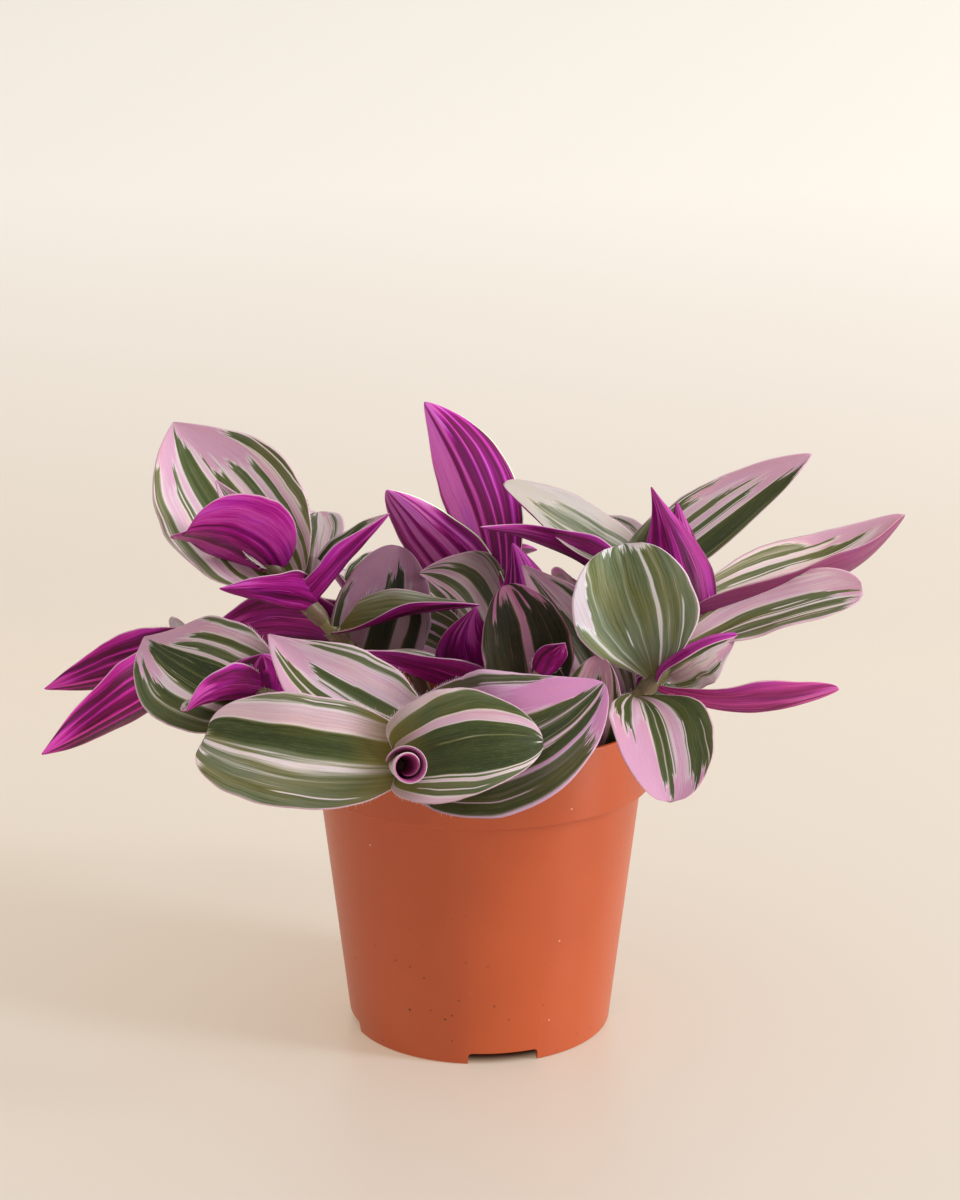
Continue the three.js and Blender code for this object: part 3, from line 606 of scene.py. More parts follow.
               (0, 0.6), (0.05, 0.25), (0.1, 0.58), (0.36, 0.6), (0.42, 0.25), (0.48, 0.58), (0.84, 0.56),
               (0.92, 0.15), (1, 0.1)],
        ends=[(-1, 0.7), (-0.8, 0.74), (-0.5, 0.9), (-0.26, 0.9), (0, 0.93), (0.4, 0.95), (0.85, 0.97),
              (1, 0.97)],
        streaks=0.2, ragged=0.8, slant=-0.1, rose=0.05, gold=0.5, tint=(1.24, 1.26, 1.22), seed=0.8),
    "far_right_leaf": dict(
        marks=[(-1, 0.12), (-0.93, 0.14), (-0.89, 0.5), (-0.74, 0.56), (-0.7, 0.25), (-0.66, 0.2),
               (-0.62, 0.54), (-0.5, 0.58), (-0.44, 0.2), (-0.3, 0.2), (-0.2, 0.56), (0, 0.6),
               (0.2, 0.56), (0.3, 0.2), (0.5, 0.2), (0.6, 0.5), (0.8, 0.5), (1, 0.1)],
        ends=[(-1, 0.4), (-0.89, 0.6), (-0.74, 0.7), (-0.68, 0.66), (-0.62, 0.8), (-0.5, 0.84), (1, 0.9)],
        streaks=0.16, ragged=0.8, gold=0.5, tint=(1.26, 1.25, 1.18), seed=4.4),
    # Partly its own dark maroon-brown, partly painted shade from its dark tint, for a leaf inside the
    # foliage.
    "dark_centre_leaf": dict(
        marks=[(-1, 0.2), (-0.93, 0.85), (-0.1, 0.95), (0, 0.3), (0.14, 0.15), (0.24, 0.9), (0.9, 0.95),
               (1, 0.1)],
        streaks=0.26, ragged=1.0, rose=0.5, tip=(0.92, 1.04), gold=0.0, tint=(0.6, 0.4, 0.5), seed=9.9),
}

UNDERS = {
    "usual": dict(marks=PURPLE, seed=2.4),
    "orchid": dict(
        marks=[(-1, 0.4), (-0.85, 0.3), (-0.7, 0.08), (-0.2, 0.06), (-0.05, 0.3), (0.1, 0.15),
               (0.2, 0.56), (0.35, 0.25), (0.45, 0.55), (0.6, 0.3), (0.75, 0.12), (1, 0.15)],
        streaks=0.4, tip=(0.9, 1.1), seed=5.5),
    "orchid_fan": dict(
        marks=[(-1, 0.3), (-0.9, 0.16), (-0.6, 0.08), (-0.3, 0.12), (-0.22, 0.5), (-0.12, 0.16),
               (-0.02, 0.54), (0.08, 0.2), (0.2, 0.5), (0.3, 0.56), (0.4, 0.2), (0.6, 0.12), (0.8, 0.3),
               (0.9, 0.5), (1, 0.55)],
        streaks=0.34, ragged=1.0, tip=(1.0, 1.2), tint=(0.95, 0.8, 0.9), seed=5.5),
    "orchid_streaked": dict(
        marks=[(-1, 0.4), (-0.6, 0.3), (-0.3, 0.55), (-0.1, 0.3), (0.1, 0.55), (0.3, 0.3), (0.6, 0.5),
               (0.8, 0.2), (1, 0.25)],
        streaks=0.42, ragged=1.0, tip=(0.84, 1.05), seed=7.2),
    # Its strong tint brightens and tints it; the brightening is painted light on a leaf that faces away
    # from the lamp.
    "bright_bands": dict(
        marks=[(-1, 0.3), (-0.9, 0.5), (-0.8, 0.5), (-0.72, 0.04), (-0.58, 0.5), (-0.46, 0.5),
               (-0.38, 0.0), (-0.22, 0.04), (-0.14, 0.5), (-0.04, 0.5), (0.04, 0.0), (0.2, 0.02),
               (0.3, 0.5), (0.4, 0.36), (0.48, 0.0), (0.62, 0.36), (0.8, 0.5), (0.9, 0.1), (1, 0.1)],
        streaks=0.16, ragged=0.9, straight=0.2, tip=(0.74, 0.94), tint=(1.6, 3.8, 1.75), seed=6.4),
    "mauve": dict(
        marks=[(-1, 0.26), (-0.5, 0.34), (0, 0.4), (0.5, 0.36), (1, 0.2)],
        streaks=0.16, mauve=0.9, tint=(0.88, 0.8, 0.72), seed=1.7),
    "mauve_streaked": dict(
        marks=[(-1, 0.4), (-0.6, 0.3), (-0.3, 0.5), (-0.1, 0.3), (0.1, 0.5), (0.3, 0.3), (0.6, 0.45),
               (1, 0.25)],
        streaks=0.4, ragged=1.0, tip=(0.84, 1.05), mauve=0.35, tint=(1.25, 1.2, 1.05), seed=7.2),
    "shaded": dict(
        marks=[(-1, 0.4), (-0.4, 0.5), (0, 0.4), (0.5, 0.55), (1, 0.35)],
        streaks=0.3, tint=(0.8, 0.8, 0.8), seed=3.3),
    "orchid_stripe": dict(
        marks=[(-1, 0.5), (-0.9, 0.58), (-0.8, 0.56), (-0.74, 0.1), (-0.68, 0.55), (-0.56, 0.55),
               (-0.5, 0.06), (-0.45, 0.55), (-0.32, 0.55), (-0.27, 0.06), (-0.2, 0.55), (-0.04, 0.55),
               (0.02, 0.1), (0.06, 0.12), (0.11, 0.55), (0.18, 0.55), (0.24, 0.06), (0.6, 0.0),
               (0.86, 0.05), (0.92, 0.5), (1, 0.3)],
        streaks=0.12, ragged=0.4, straight=0.25, tip=(0.86, 1.0), lines=0.04, tint=(1.58, 2.9, 1.72),
        seed=1.1),
    "maroon_bands": dict(
        marks=[(-1, 0.3), (-0.88, 0.2), (-0.74, 0.66), (-0.62, 0.62), (-0.54, 0.1), (-0.46, 0.6),
               (-0.34, 0.66), (-0.26, 0.12), (-0.18, 0.58), (0.0, 0.66), (0.08, 0.16), (0.16, 0.62),
               (0.34, 0.66), (0.4, 0.25), (0.5, 0.7), (0.75, 0.74), (0.9, 0.4), (1, 0.2)],
        streaks=0.24, ragged=0.9, straight=0.2, tip=(0.74, 0.94), tint=(1.3, 1.0, 1.2), seed=8.8),
}


@functools.cache
def leaf_finish(side, name):
    """The finish of one side of a leaf, made when it is first asked for."""
    maker, table = (leaf_upper, UPPERS) if side == "upper" else (leaf_under, UNDERS)
    return maker(f"{name}_{side}", **table[name])


def ribbed_finish(name, roughness, length, ribs, detail, shades, bump):
    """Fine ribs along a stem: how closely their pattern repeats along and around it, and its colours."""
    look = Finish(name, Roughness=roughness)
    along, around = look.uv()
    lines = look.noise(look.point(along * length, around * ribs), 1.0, detail)
    look.set(Base_Color=look.ramp(lines, shades))
    look.bump(lines, *bump)
    return look.material


def mottled_finish(name, roughness, scale, detail, shades, bump=None):
    look = Finish(name, Roughness=roughness)
    grain = look.noise(look.place(), scale, detail)
    look.set(Base_Color=look.ramp(grain, shades))
    if bump:
        look.bump(grain, *bump)
    return look.material


STEM = ribbed_finish(
    "olive_stem", roughness=0.42, length=2.0, ribs=26.0, detail=3.0, bump=(0.3, 0.0005),
    shades=[(0.3, (0.16, 0.15, 0.05)), (0.5, (0.24, 0.19, 0.07)), (0.7, (0.3, 0.12, 0.12))],
)
SHEATH = ribbed_finish(
    "pale_sheath", roughness=0.4, length=1.0, ribs=40.0, detail=2.0, bump=(0.3, 0.0004),
    shades=[(0.35, (0.12, 0.11, 0.035)), (0.52, (0.17, 0.14, 0.055)), (0.64, (0.22, 0.05, 0.1))],
)
HAIR = mottled_finish(
    "white_hair", roughness=0.5, scale=90.0, detail=2.0,
    shades=[(0.3, (0.75, 0.7, 0.66)), (0.7, (0.85, 0.78, 0.78))],
)

# The form of the shoots. Shares are of a leaf's length, or of half its width.
BLADE_THICKNESS = 0.8
EDGE_SHARPNESS = 8.0
END_SHARPNESS = 24.0
CLASP_HALF_WIDTH = 1.6
CLASP_LENGTH = 0.14
CLASP_CUP = 35
CLASP_CUP_LENGTH = 0.3
TIP_HALF_WIDTH = 0.25
TWIST_CENTRE = 0.35
HOOK_START = 0.6
WAVES = 2
RIB_WIDTH = 0.12
STEP_EASING = 0.6
EDGE_EASING = 0.3
BLADE_STEPS_ALONG = 40
BLADE_STEPS_ACROSS = 22
SMALLEST_GAP = 1e-6
EDGE_DENTS = 6.0
EDGE_DENT_DEPTH = 0.06
HILLS_ALONG = 3.0
HILLS_ACROSS = 1.6
HILL_HEIGHT = 1.6
STEM_FOOT_RADIUS = 3.0
STEM_TIP_RADIUS = 2.1
STEM_POINTS = 60
STEM_RIPPLES = 14.0
STEM_RIPPLE_HEIGHT = 0.5
TUBE_SIDES = 16
SCROLL_STEPS_AROUND = 60
SCROLL_STEPS_ALONG = 20
SCROLL_BASE_SHARE = 0.6
SCROLL_INNER_SHARE = 0.45
SCROLL_SLANT = 0.3
SHEATH_LENGTH = 6.5
SHEATH_BELOW = 0.4
SHEATH_ROOM = 0.35
SHEATH_SWELL = 0.5
SHEATH_ARC = 0.7
SHEATH_STEPS = 8
SHEATH_HAIRS = 22
HAIR_LENGTH = 1.3
HAIR_WIDTH = 0.09
HAIR_SIZES = (0.5, 1.2)
HAIR_WOBBLE = 0.5
HAIR_RISE = 1.1
EDGE_HAIRS = 16
EDGE_HAIR_REACH = 0.2
EDGE_HAIR_START = 0.1
EDGE_HAIR_OUT = 0.8
EDGE_HAIR_UP = 0.5
EDGE_HAIR_AHEAD = 0.4

USUAL_LEAF = {
    "rise": 0.08, "sway": 0.0, "cup": 28.0, "fold": 6.0, "twist": 0.0, "roll": 0.0,
    "widest": 0.4, "heel": 0.5, "point": 1.0, "hook": 0.0, "wave": 0.6,
}


def leaf(at, tip, face, width, upper="usual", under="usual", **shape):
    """A leaf: where it grows on its stem, its tip, the way its upper side looks, and its width."""
    return {"at": at, "tip": tip, "face": face, "width": width, "upper": upper, "under": under,
            **USUAL_LEAF, **shape}


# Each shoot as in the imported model: the foot, the two handles and the end of its stem's bent line.
STEMS = {
    "shoot_front": [(-12, -24, 92), (-12, -56, 140), (-22, -84, 122), (-25, -104, 123)],
    "shoot_upper_left": [(-20, 4, 92), (-34, 0, 128), (-54, -14, 146), (-72, -14, 168)],
    "shoot_left_front": [(-26, -16, 92), (-40, -32, 130), (-60, -52, 128), (-72, -62, 134)],
    "shoot_left": [(-30, 0, 92), (-50, -2, 128), (-76, -8, 132), (-100, -12, 138)],
    "shoot_back_centre": [(4, 20, 92), (4, 26, 112), (6, 32, 126), (6, 30, 140)],
    "shoot_upper_right": [(22, 12, 92), (34, 20, 125), (48, 34, 140), (60, 38, 155)],
    "shoot_right": [(26, -14, 92), (44, -40, 128), (60, -46, 126), (72, -14, 152)],
    "shoot_centre": [(2, -12, 92), (8, -22, 115), (16, -36, 125), (20, -44, 136)],
    "shoot_middle": [(-6, 6, 92), (-10, 30, 126), (-8, 48, 130), (-6, 62, 136)],
    "shoot_back_left": [(-14, 24, 92), (-24, 44, 128), (-40, 66, 124), (-50, 84, 132)],
    "shoot_back_right": [(16, 26, 92), (28, 46, 126), (44, 62, 122), (56, 80, 130)],
}

LEAVES = {
    "shoot_front": [
        leaf(0.62, (-67, -62, 154), (-15, 50), 33, "front_back_leaf", rise=0.05, sway=-0.08, cup=25),
        leaf(0.72, (38, -84, 144), (5, 30), 47, "front_right_leaf", rise=0.12, sway=0.17, cup=22,
             heel=0.4, point=0.72),
        leaf(0.88, (-85, -86, 127), (-5, 32), 37, "front_left_leaf", rise=0.1, sway=-0.06, cup=18,
             widest=0.48, heel=0.33, point=0.34),
        leaf(0.95, (19, -104, 131), (5, 35), 36, "front_middle_leaf", rise=0.16, cup=20, heel=0.33,
             point=0.6),
    ],
    "shoot_upper_left": [
        leaf(0.4, (-28, 5, 169), (10, 20), 36, "shaded_left_leaf", point=0.55),
        leaf(0.5, (-98, 6, 134), (180, 30), 40, cup=20),
        leaf(0.6, (0, -30, 156), (0, 90), 26, "olive_leaf", rise=0.02, cup=35, heel=0.9, twist=-60,
             roll=15),
        leaf(0.74, (-30, -20, 185), (0, 82), 27, under="orchid_streaked", rise=0.0, fold=26, cup=25),
        leaf(0.72, (-84, -45, 165), (180, 52), 27, under="orchid_streaked", rise=-0.02, fold=26, cup=25),
        leaf(0.8, (-58, 35, 175), (0, 40), 28, "pale", rise=0.15),
        leaf(0.84, (-107, 25, 209), (5, 28), 52, "top_left_leaf", rise=0.06, sway=-0.03, widest=0.44,
             heel=0.6, point=0.95),
        leaf(0.93, (-94, -46, 184), (-172, 40), 37, under="orchid_fan", sway=-0.06, cup=28, widest=0.55,
             heel=0.3, point=0.34),
        leaf(0.98, (-88, -14, 195), (0, 30), 16, "pale", cup=70),
    ],
    "shoot_left_front": [
        leaf(0.84, (-112, -25, 144), (-12, 38), 43, "left_front_leaf", sway=-0.1, cup=25, heel=0.4),
        leaf(0.9, (-69, -60, 147), (180, 30), 30, cup=45, heel=0.2),
        leaf(0.97, (-91, -80, 134), (180, 40), 25, cup=40, widest=0.5, heel=0.3, point=0.6),
    ],
    "shoot_left": [
        leaf(0.26, (-70, 50, 109), (-60, 60), 30),
        leaf(0.88, (-142, -54, 112), (-172, 25), 28, under="maroon_bands", rise=0.04, sway=0.05, cup=30),
        leaf(0.93, (-150, -6, 121), (172, 30), 26, under="maroon_bands", rise=0.04, sway=0.05, cup=30),
        leaf(0.98, (-107, 4, 144), (0, 20), 6, "furled", cup=70),
    ],
    "shoot_back_centre": [
        leaf(0.8, (-20, 48, 213), (170, 10), 30, under="orchid_stripe", rise=-0.04, sway=-0.11, cup=25,
             widest=0.57, heel=1.05, point=0.85),
        leaf(0.9, (-32, 8, 188), (165, 20), 29, under="bright_bands", sway=0.05, cup=25, point=0.8),
        leaf(0.6, (-21, -3, 161), (0, 45), 37, "diagonal_leaf", sway=0.12),
    ],
    "shoot_upper_right": [
        leaf(0.5, (92, 56, 138), (60, 60), 32),
        leaf(0.8, (0, -8, 178), (180, 80), 25, rise=0.05, fold=22, cup=25),
        leaf(0.88, (117, 30, 197), (-10, 45), 28, "right_top_leaf", rise=0.0, sway=-0.01, cup=25,
             point=0.8),
        leaf(0.9, (62, 25, 177), (0, 20), 18, "olive_leaf", cup=40),
        leaf(0.95, (8, 14, 189), (0, 56), 31, "silver_leaf", rise=0.0, sway=-0.05, cup=30, point=0.55),
        leaf(0.98, (40, 60, 170), (0, 45), 22, "pale", rise=0.0, cup=30),
    ],
    "shoot_right": [
        leaf(0.16, (39, -46, 143), (0, 30), 26, "lilac_banded_leaf", point=0.5),
        leaf(0.3, (74, 14, 116), (60, 50), 32),
        leaf(0.36, (14, -12, 166), (0, 55), 30, "inner_leaf", fold=14),
        leaf(0.44, (32, -22, 147), (180, 20), 26),
        leaf(0.5, (59, -86, 106), (10, 30), 35, "rim_leaf", rise=0.18, widest=0.58, heel=0.95, point=0.42),
        leaf(0.6, (118, -40, 130), (180, 56), 25, "olive_leaf", "mauve_streaked", rise=-0.13, fold=14,
             widest=0.6, heel=0.8, point=0.6),
        leaf(0.64, (46, -46, 180), (-10, 18), 43, "round_right_leaf", rise=0.1, widest=0.6, heel=0.85,
             point=0.4),
        leaf(0.7, (84, -34, 147), (60, 5), 28, "pale", under="orchid", sway=-0.2, cup=80, point=0.6),
        leaf(0.8, (126, -32, 160), (0, 66), 30, "long_right_leaf", rise=-0.02, sway=-0.09, cup=22,
             widest=0.6, point=0.36),
        leaf(0.96, (147, 10, 179), (0, 86), 40, "far_right_leaf", under="mauve", rise=-0.05, fold=36,
             cup=22, widest=0.5, point=0.65, hook=0.12),
        leaf(0.91, (57, -15, 193), (180, 5), 30, under="orchid_streaked", sway=-0.04, cup=50, widest=0.28,
             point=1.3),
        leaf(0.98, (67, 0, 185), (180, 10), 16, cup=60),
    ],
    "shoot_centre": [
        leaf(0.3, (11, -10, 173), (180, 20), 34, under="shaded", sway=-0.12, cup=34),
        leaf(0.5, (-42, -40, 143), (180, 80), 32, under="shaded", rise=0.0, fold=25, cup=25),
        leaf(0.65, (-1, -40, 158), (180, 20), 38, under="shaded", sway=0.24, widest=0.32, point=1.2),
        leaf(0.78, (8, -36, 164), (0, 20), 31, "dark_centre_leaf", sway=0.05, cup=20, point=0.55),
        leaf(0.95, (27, -58, 150), (180, 20), 10, cup=25, wave=0.2, point=1.2),
    ],
    "shoot_middle": [
        leaf(0.45, (-46, 42, 134), (-60, 60), 32, "front_right_leaf"),
        leaf(0.66, (32, 70, 134), (120, 60), 32, "front_left_leaf"),
        leaf(0.8, (-38, 84, 146), (-140, 50), 32, "left_front_leaf"),
        leaf(0.92, (22, 92, 150), (160, 50), 34, "inner_leaf"),
        leaf(0.98, (-10, 90, 152), (0, 60), 14, cup=70),
    ],
    "shoot_back_left": [
        leaf(0.4, (-82, 54, 126), (-90, 60), 36, "left_front_leaf"),
        leaf(0.46, (-2, 78, 114), (150, 65), 32, "inner_leaf"),
        leaf(0.7, (-84, 94, 116), (-140, 45), 40, "front_left_leaf"),
        leaf(0.84, (-16, 117, 122), (170, 45), 38, "front_right_leaf"),
        leaf(0.95, (-66, 120, 138), (180, 40), 30, "pale", cup=40),
        leaf(0.98, (-40, 104, 147), (0, 60), 14, cup=70),
    ],
    "shoot_back_right": [
        leaf(0.4, (82, 44, 118), (100, 60), 36, "round_right_leaf"),
        leaf(0.55, (14, 96, 112), (170, 50), 34, "left_front_leaf"),
        leaf(0.64, (86, 88, 110), (130, 45), 40, "front_back_leaf"),
        leaf(0.86, (30, 123, 124), (180, 40), 40, "front_middle_leaf"),
        leaf(0.95, (76, 112, 138), (150, 45), 28, "pale", cup=40),
        leaf(0.98, (50, 104, 148), (0, 60), 18, "inner_leaf", cup=60),
    ],
}

# The furled young leaf at the end of the front shoot.
FURLED = {
    "shoot": "shoot_front", "at": 0.96, "tip": (-20.5, -126, 130),
    "radius": 6.2, "turns": 1.75, "start": 255.0,
}


def face_direction(aside, up):
    """The direction so many degrees round from the front and so many degrees up."""
    turn, lift = math.radians(aside), math.radians(up)
    return Vector((math.sin(turn) * math.cos(lift), -math.cos(turn) * math.cos(lift), math.sin(lift)))


def stem_point(stem, share):
    a, b, c, d = (Vector(point) for point in stem)
    rest = 1 - share
    return a * rest**3 + b * 3 * rest**2 * share + c * 3 * rest * share**2 + d * share**3


def stem_length(stem, steps=20):
    points = [stem_point(stem, step / steps) for step in range(steps + 1)]
    return sum((after - before).length for before, after in zip(points, points[1:]))


def with_map(g, geometry, u, v):
    """Keeps a UV map on a geometry."""
    inputs = {"Geometry": geometry, "Name": "UVMap", "Value": g.point(u, v)}
    return g.new("GeometryNodeStoreNamedAttribute", inputs, data_type="FLOAT2", domain="CORNER")


def smooth(g, geometry):
    return g.new("GeometryNodeSetShadeSmooth", {0: geometry})


def rounded(g, value, sharpness):
    """1 in the middle, falling to 0 where value reaches -1 or 1, like the edge of a thick leaf."""
    inside = 1.0 - g.math("ABSOLUTE", value) ** sharpness
    return g.math("SQRT", g.math("MAXIMUM", inside, 0.0))


def foot_share(g, share, length):
    """1 at a leaf's foot, falling softly to 0 at this share of its length."""
    rest = g.math("SUBTRACT", 1.0, share / length, clamp=True)
    return rest * rest


def square_to(g, direction, line):
    """The direction of length 1 that is square to a line and nearest to another direction."""
    lean = g.vector("DOT_PRODUCT", direction, line) * -1.0
    return g.vector("NORMALIZE", direction + line * lean)


def grid_lines(g, along_steps, across_steps):
    """A flat grid with its share along a leaf, finer at both ends, and across it, finer at both edges."""
    inputs = {"Size X": 1.0, "Size Y": 2.0, "Vertices X": along_steps + 1, "Vertices Y": across_steps + 1}
    grid = g.new("GeometryNodeMeshGrid", inputs)
    x, y, _ = g.apart(g.new("GeometryNodeInputPosition"))
    x = x + 0.5
    curve = (1.0 - g.math("COSINE", x * math.pi)) * 0.5
    share = x * (1 - STEP_EASING) + curve * STEP_EASING
    across = y * (1 + EDGE_EASING - y * y * EDGE_EASING)
    return grid, share, across


def thin_blade(g, grid, share, across, point, normal, upper, under):
    """A closed thin blade from one grid: two faces, joined where the blade thins to nothing."""
    grid = with_map(g, grid, share, across * 0.5 + 0.5)
    thickness = rounded(g, across, EDGE_SHARPNESS) * rounded(g, share * 2.0 - 1.0, END_SHARPNESS)
    thickness = thickness * (BLADE_THICKNESS * MM)
    faces = []
    for hand, finish in ((0.5, upper), (-0.5, under)):
        place = point + normal * (thickness * hand)
        face = g.new("GeometryNodeSetPosition", {"Geometry": grid, "Position": place})
        if hand > 0:
            face = g.new("GeometryNodeFlipFaces", {"Mesh": face})
        faces.append(g.coated(face, finish))
    inputs = {"Geometry": g.join(*faces), "Distance": SMALLEST_GAP}
    return smooth(g, g.new("GeometryNodeMergeByDistance", inputs))


def stand_hairs(g, points, direction, seed):
    """Short tapering hairs on points, each turned roughly along its direction."""
    inputs = {"Min": (-HAIR_WOBBLE,) * 3, "Max": (HAIR_WOBBLE,) * 3, "Seed": g.math("ROUND", seed)}
    wobble = g.new("FunctionNodeRandomValue", inputs, data_type="FLOAT_VECTOR")
    turn = g.new("FunctionNodeAlignRotationToVector", {"Vector": direction + wobble}, axis="Z")
    inputs = {"Min": HAIR_SIZES[0], "Max": HAIR_SIZES[1]}
    size = g.new("FunctionNodeRandomValue", inputs, data_type="FLOAT")
    inputs = {"Vertices": 4, "Side Segments": 2, "Fill Segments": 1, "Radius Top": HAIR_WIDTH * MM / 8,
              "Radius Bottom": HAIR_WIDTH * MM / 2, "Depth": HAIR_LENGTH * MM}
    hair = g.new("GeometryNodeMeshCone", inputs)
    inputs = {"Points": points, "Instance": hair, "Rotation": turn, "Scale": g.point(1.0, 1.0, size)}
    return g.realized(g.new("GeometryNodeInstanceOnPoints", inputs))


def edge_hairs(g, point, direction, seed):
    """Hairs on both edges of a blade near its foot, where a flat grid stands for that part of it."""
    inputs = {"Size X": EDGE_HAIR_REACH, "Size Y": 2.0, "Vertices X": EDGE_HAIRS, "Vertices Y": 2}
    strip = g.new("GeometryNodeMeshGrid", inputs)
    shift = (EDGE_HAIR_REACH / 2 - 0.5 + EDGE_HAIR_START, 0.0, 0.0)
    strip = g.new("GeometryNodeTransform", {0: strip, "Translation": shift})
    strip, direction = g.capture(strip, "VECTOR", direction)
    strip = g.new("GeometryNodeSetPosition", {"Geometry": strip, "Position": point})
    return stand_hairs(g, strip, direction, seed)


def blade_tree():
    g, given = shape_tree(
        "leaf_blade",
        place=["Base", "Tip", "Face"],
        number=["Width", *(label.capitalize() for label in USUAL_LEAF), "Seed"],
        finish=["Upper", "Under", "Hair"],
    )
    grid, share, across = grid_lines(g, BLADE_STEPS_ALONG, BLADE_STEPS_ACROSS)
    chord = given["Tip"] - given["Base"]
    length = g.vector("LENGTH", chord)
    ahead = g.vector("NORMALIZE", chord)
    upper = square_to(g, given["Face"], ahead)
    beside = g.vector("CROSS_PRODUCT", ahead, upper)

    bow = share * (1.0 - share) * 4.0
    slope = 4.0 - share * 8.0
    end = g.math("DIVIDE", share - HOOK_START, 1 - HOOK_START, clamp=True)
    hook = length * given["Hook"] * (end * end - share)
    hook_slope = given["Hook"] * (end * (2 / (1 - HOOK_START)) - 1.0)
    rise = length * given["Rise"] * bow + hook
    sway = length * given["Sway"] * bow
    rib = given["Base"] + chord * share + upper * rise + beside * sway
    run = ahead + beside * (given["Sway"] * slope) + upper * (given["Rise"] * slope + hook_slope)
    run = g.vector("NORMALIZE", run)

    flat_up = square_to(g, upper, run)
    flat_side = g.vector("CROSS_PRODUCT", run, flat_up)
    turn = g.math("RADIANS", given["Roll"] + given["Twist"] * (share - TWIST_CENTRE))
    cos, sin = g.math("COSINE", turn), g.math("SINE", turn)
    up = flat_up * cos + flat_side * sin
    side = flat_side * cos - flat_up * sin

    skew = g.math("LOGARITHM", 0.5, given["Widest"])
    outline = g.math("MAXIMUM", g.math("SINE", share**skew * math.pi), 0.0)
    beyond = g.math("GREATER_THAN", share, given["Widest"])
    fullness = given["Heel"] + beyond * (given["Point"] - given["Heel"])
    clasp = foot_share(g, share, CLASP_LENGTH) * (CLASP_HALF_WIDTH * MM)
    half = given["Width"] * 0.5 * outline**fullness + clasp + TIP_HALF_WIDTH * MM

    hand = g.math("SIGN", across)
    reach = g.math("ABSOLUTE", across)
    dents = g.noise(g.point(share * EDGE_DENTS, hand * 3.0, given["Seed"]), 1.0, 1.0) - 0.5
    half = half + dents * (given["Width"] * EDGE_DENT_DEPTH) * outline
    cup = g.math("RADIANS", given["Cup"] + foot_share(g, share, CLASP_CUP_LENGTH) * CLASP_CUP)
    fold = g.math("RADIANS", given["Fold"])
    bend = fold + cup * reach
    out = half * (g.math("SINE", bend) - g.math("SINE", fold)) / cup * hand
    lift = half * (g.math("COSINE", fold) - g.math("COSINE", bend)) / cup
    wave = g.math("SINE", share * (2 * math.pi * WAVES)) * g.math("SINE", share * math.pi)
    lift = lift + wave * given["Wave"] * (reach**3.0 * hand)
    point = rib + side * out + up * lift

    bend = bend * g.steps(reach, 0.0, RIB_WIDTH)
    normal = up * g.math("COSINE", bend) - side * (g.math("SINE", bend) * hand)
    hills = g.noise(g.point(share * HILLS_ALONG, across * HILLS_ACROSS, given["Seed"]), 1.0, 1.0) - 0.5
    point = point + normal * (hills * (bow * (HILL_HEIGHT * MM)))
    blade = thin_blade(g, grid, share, across, point, normal, given["Upper"], given["Under"])
    outward = side * (hand * EDGE_HAIR_OUT) + up * EDGE_HAIR_UP + ahead * EDGE_HAIR_AHEAD
    hairs = g.coated(edge_hairs(g, point, outward, given["Seed"]), given["Hair"])
    return close_tree(g, g.join(blade, hairs, given["Geometry"]))


BEND_POINTS = ["Foot", "Foot Handle", "End Handle", "End"]


def bent_line(g, given, resolution):
    inputs = {"Resolution": resolution, "Start": given["Foot"], "Start Handle": given["Foot Handle"],
              "End Handle": given["End Handle"], "End": given["End"]}
    return g.new("GeometryNodeCurvePrimitiveBezierSegment", inputs)


def tube(g, line, points, factor, radius, finish):
    """A closed tube round a line, and that line with evenly set points. Factor runs from 0 to 1 on it."""
    line = g.new("GeometryNodeResampleCurve", {"Curve": line, "Count": points})
    line, along = g.capture(line, "FLOAT", factor)
    ring = g.new("GeometryNodeCurvePrimitiveCircle", {"Resolution": TUBE_SIDES, "Radius": 1.0})
    ring, around = g.capture(ring, "FLOAT", factor)
    inputs = {"Curve": line, "Profile Curve": ring, "Scale": radius, "Fill Caps": True}
    skin = with_map(g, g.new("GeometryNodeCurveToMesh", inputs), along, around)
    return g.coated(g.realized(smooth(g, skin)), finish), line


def stem_tree():
    numbers = ["Foot Radius", "End Radius"]
    g, given = shape_tree("stem", place=BEND_POINTS, number=numbers, finish=["Finish"])
    factor = g.new("GeometryNodeSplineParameter")
    ripple = (g.noise(g.point(factor, 0.0), STEM_RIPPLES) - 0.5) * (STEM_RIPPLE_HEIGHT * MM)
    radius = given["Foot Radius"] + factor * (given["End Radius"] - given["Foot Radius"]) + ripple
    stem, _ = tube(g, bent_line(g, given, 40), STEM_POINTS, factor, radius, given["Finish"])
    return close_tree(g, g.join(stem, given["Geometry"]))


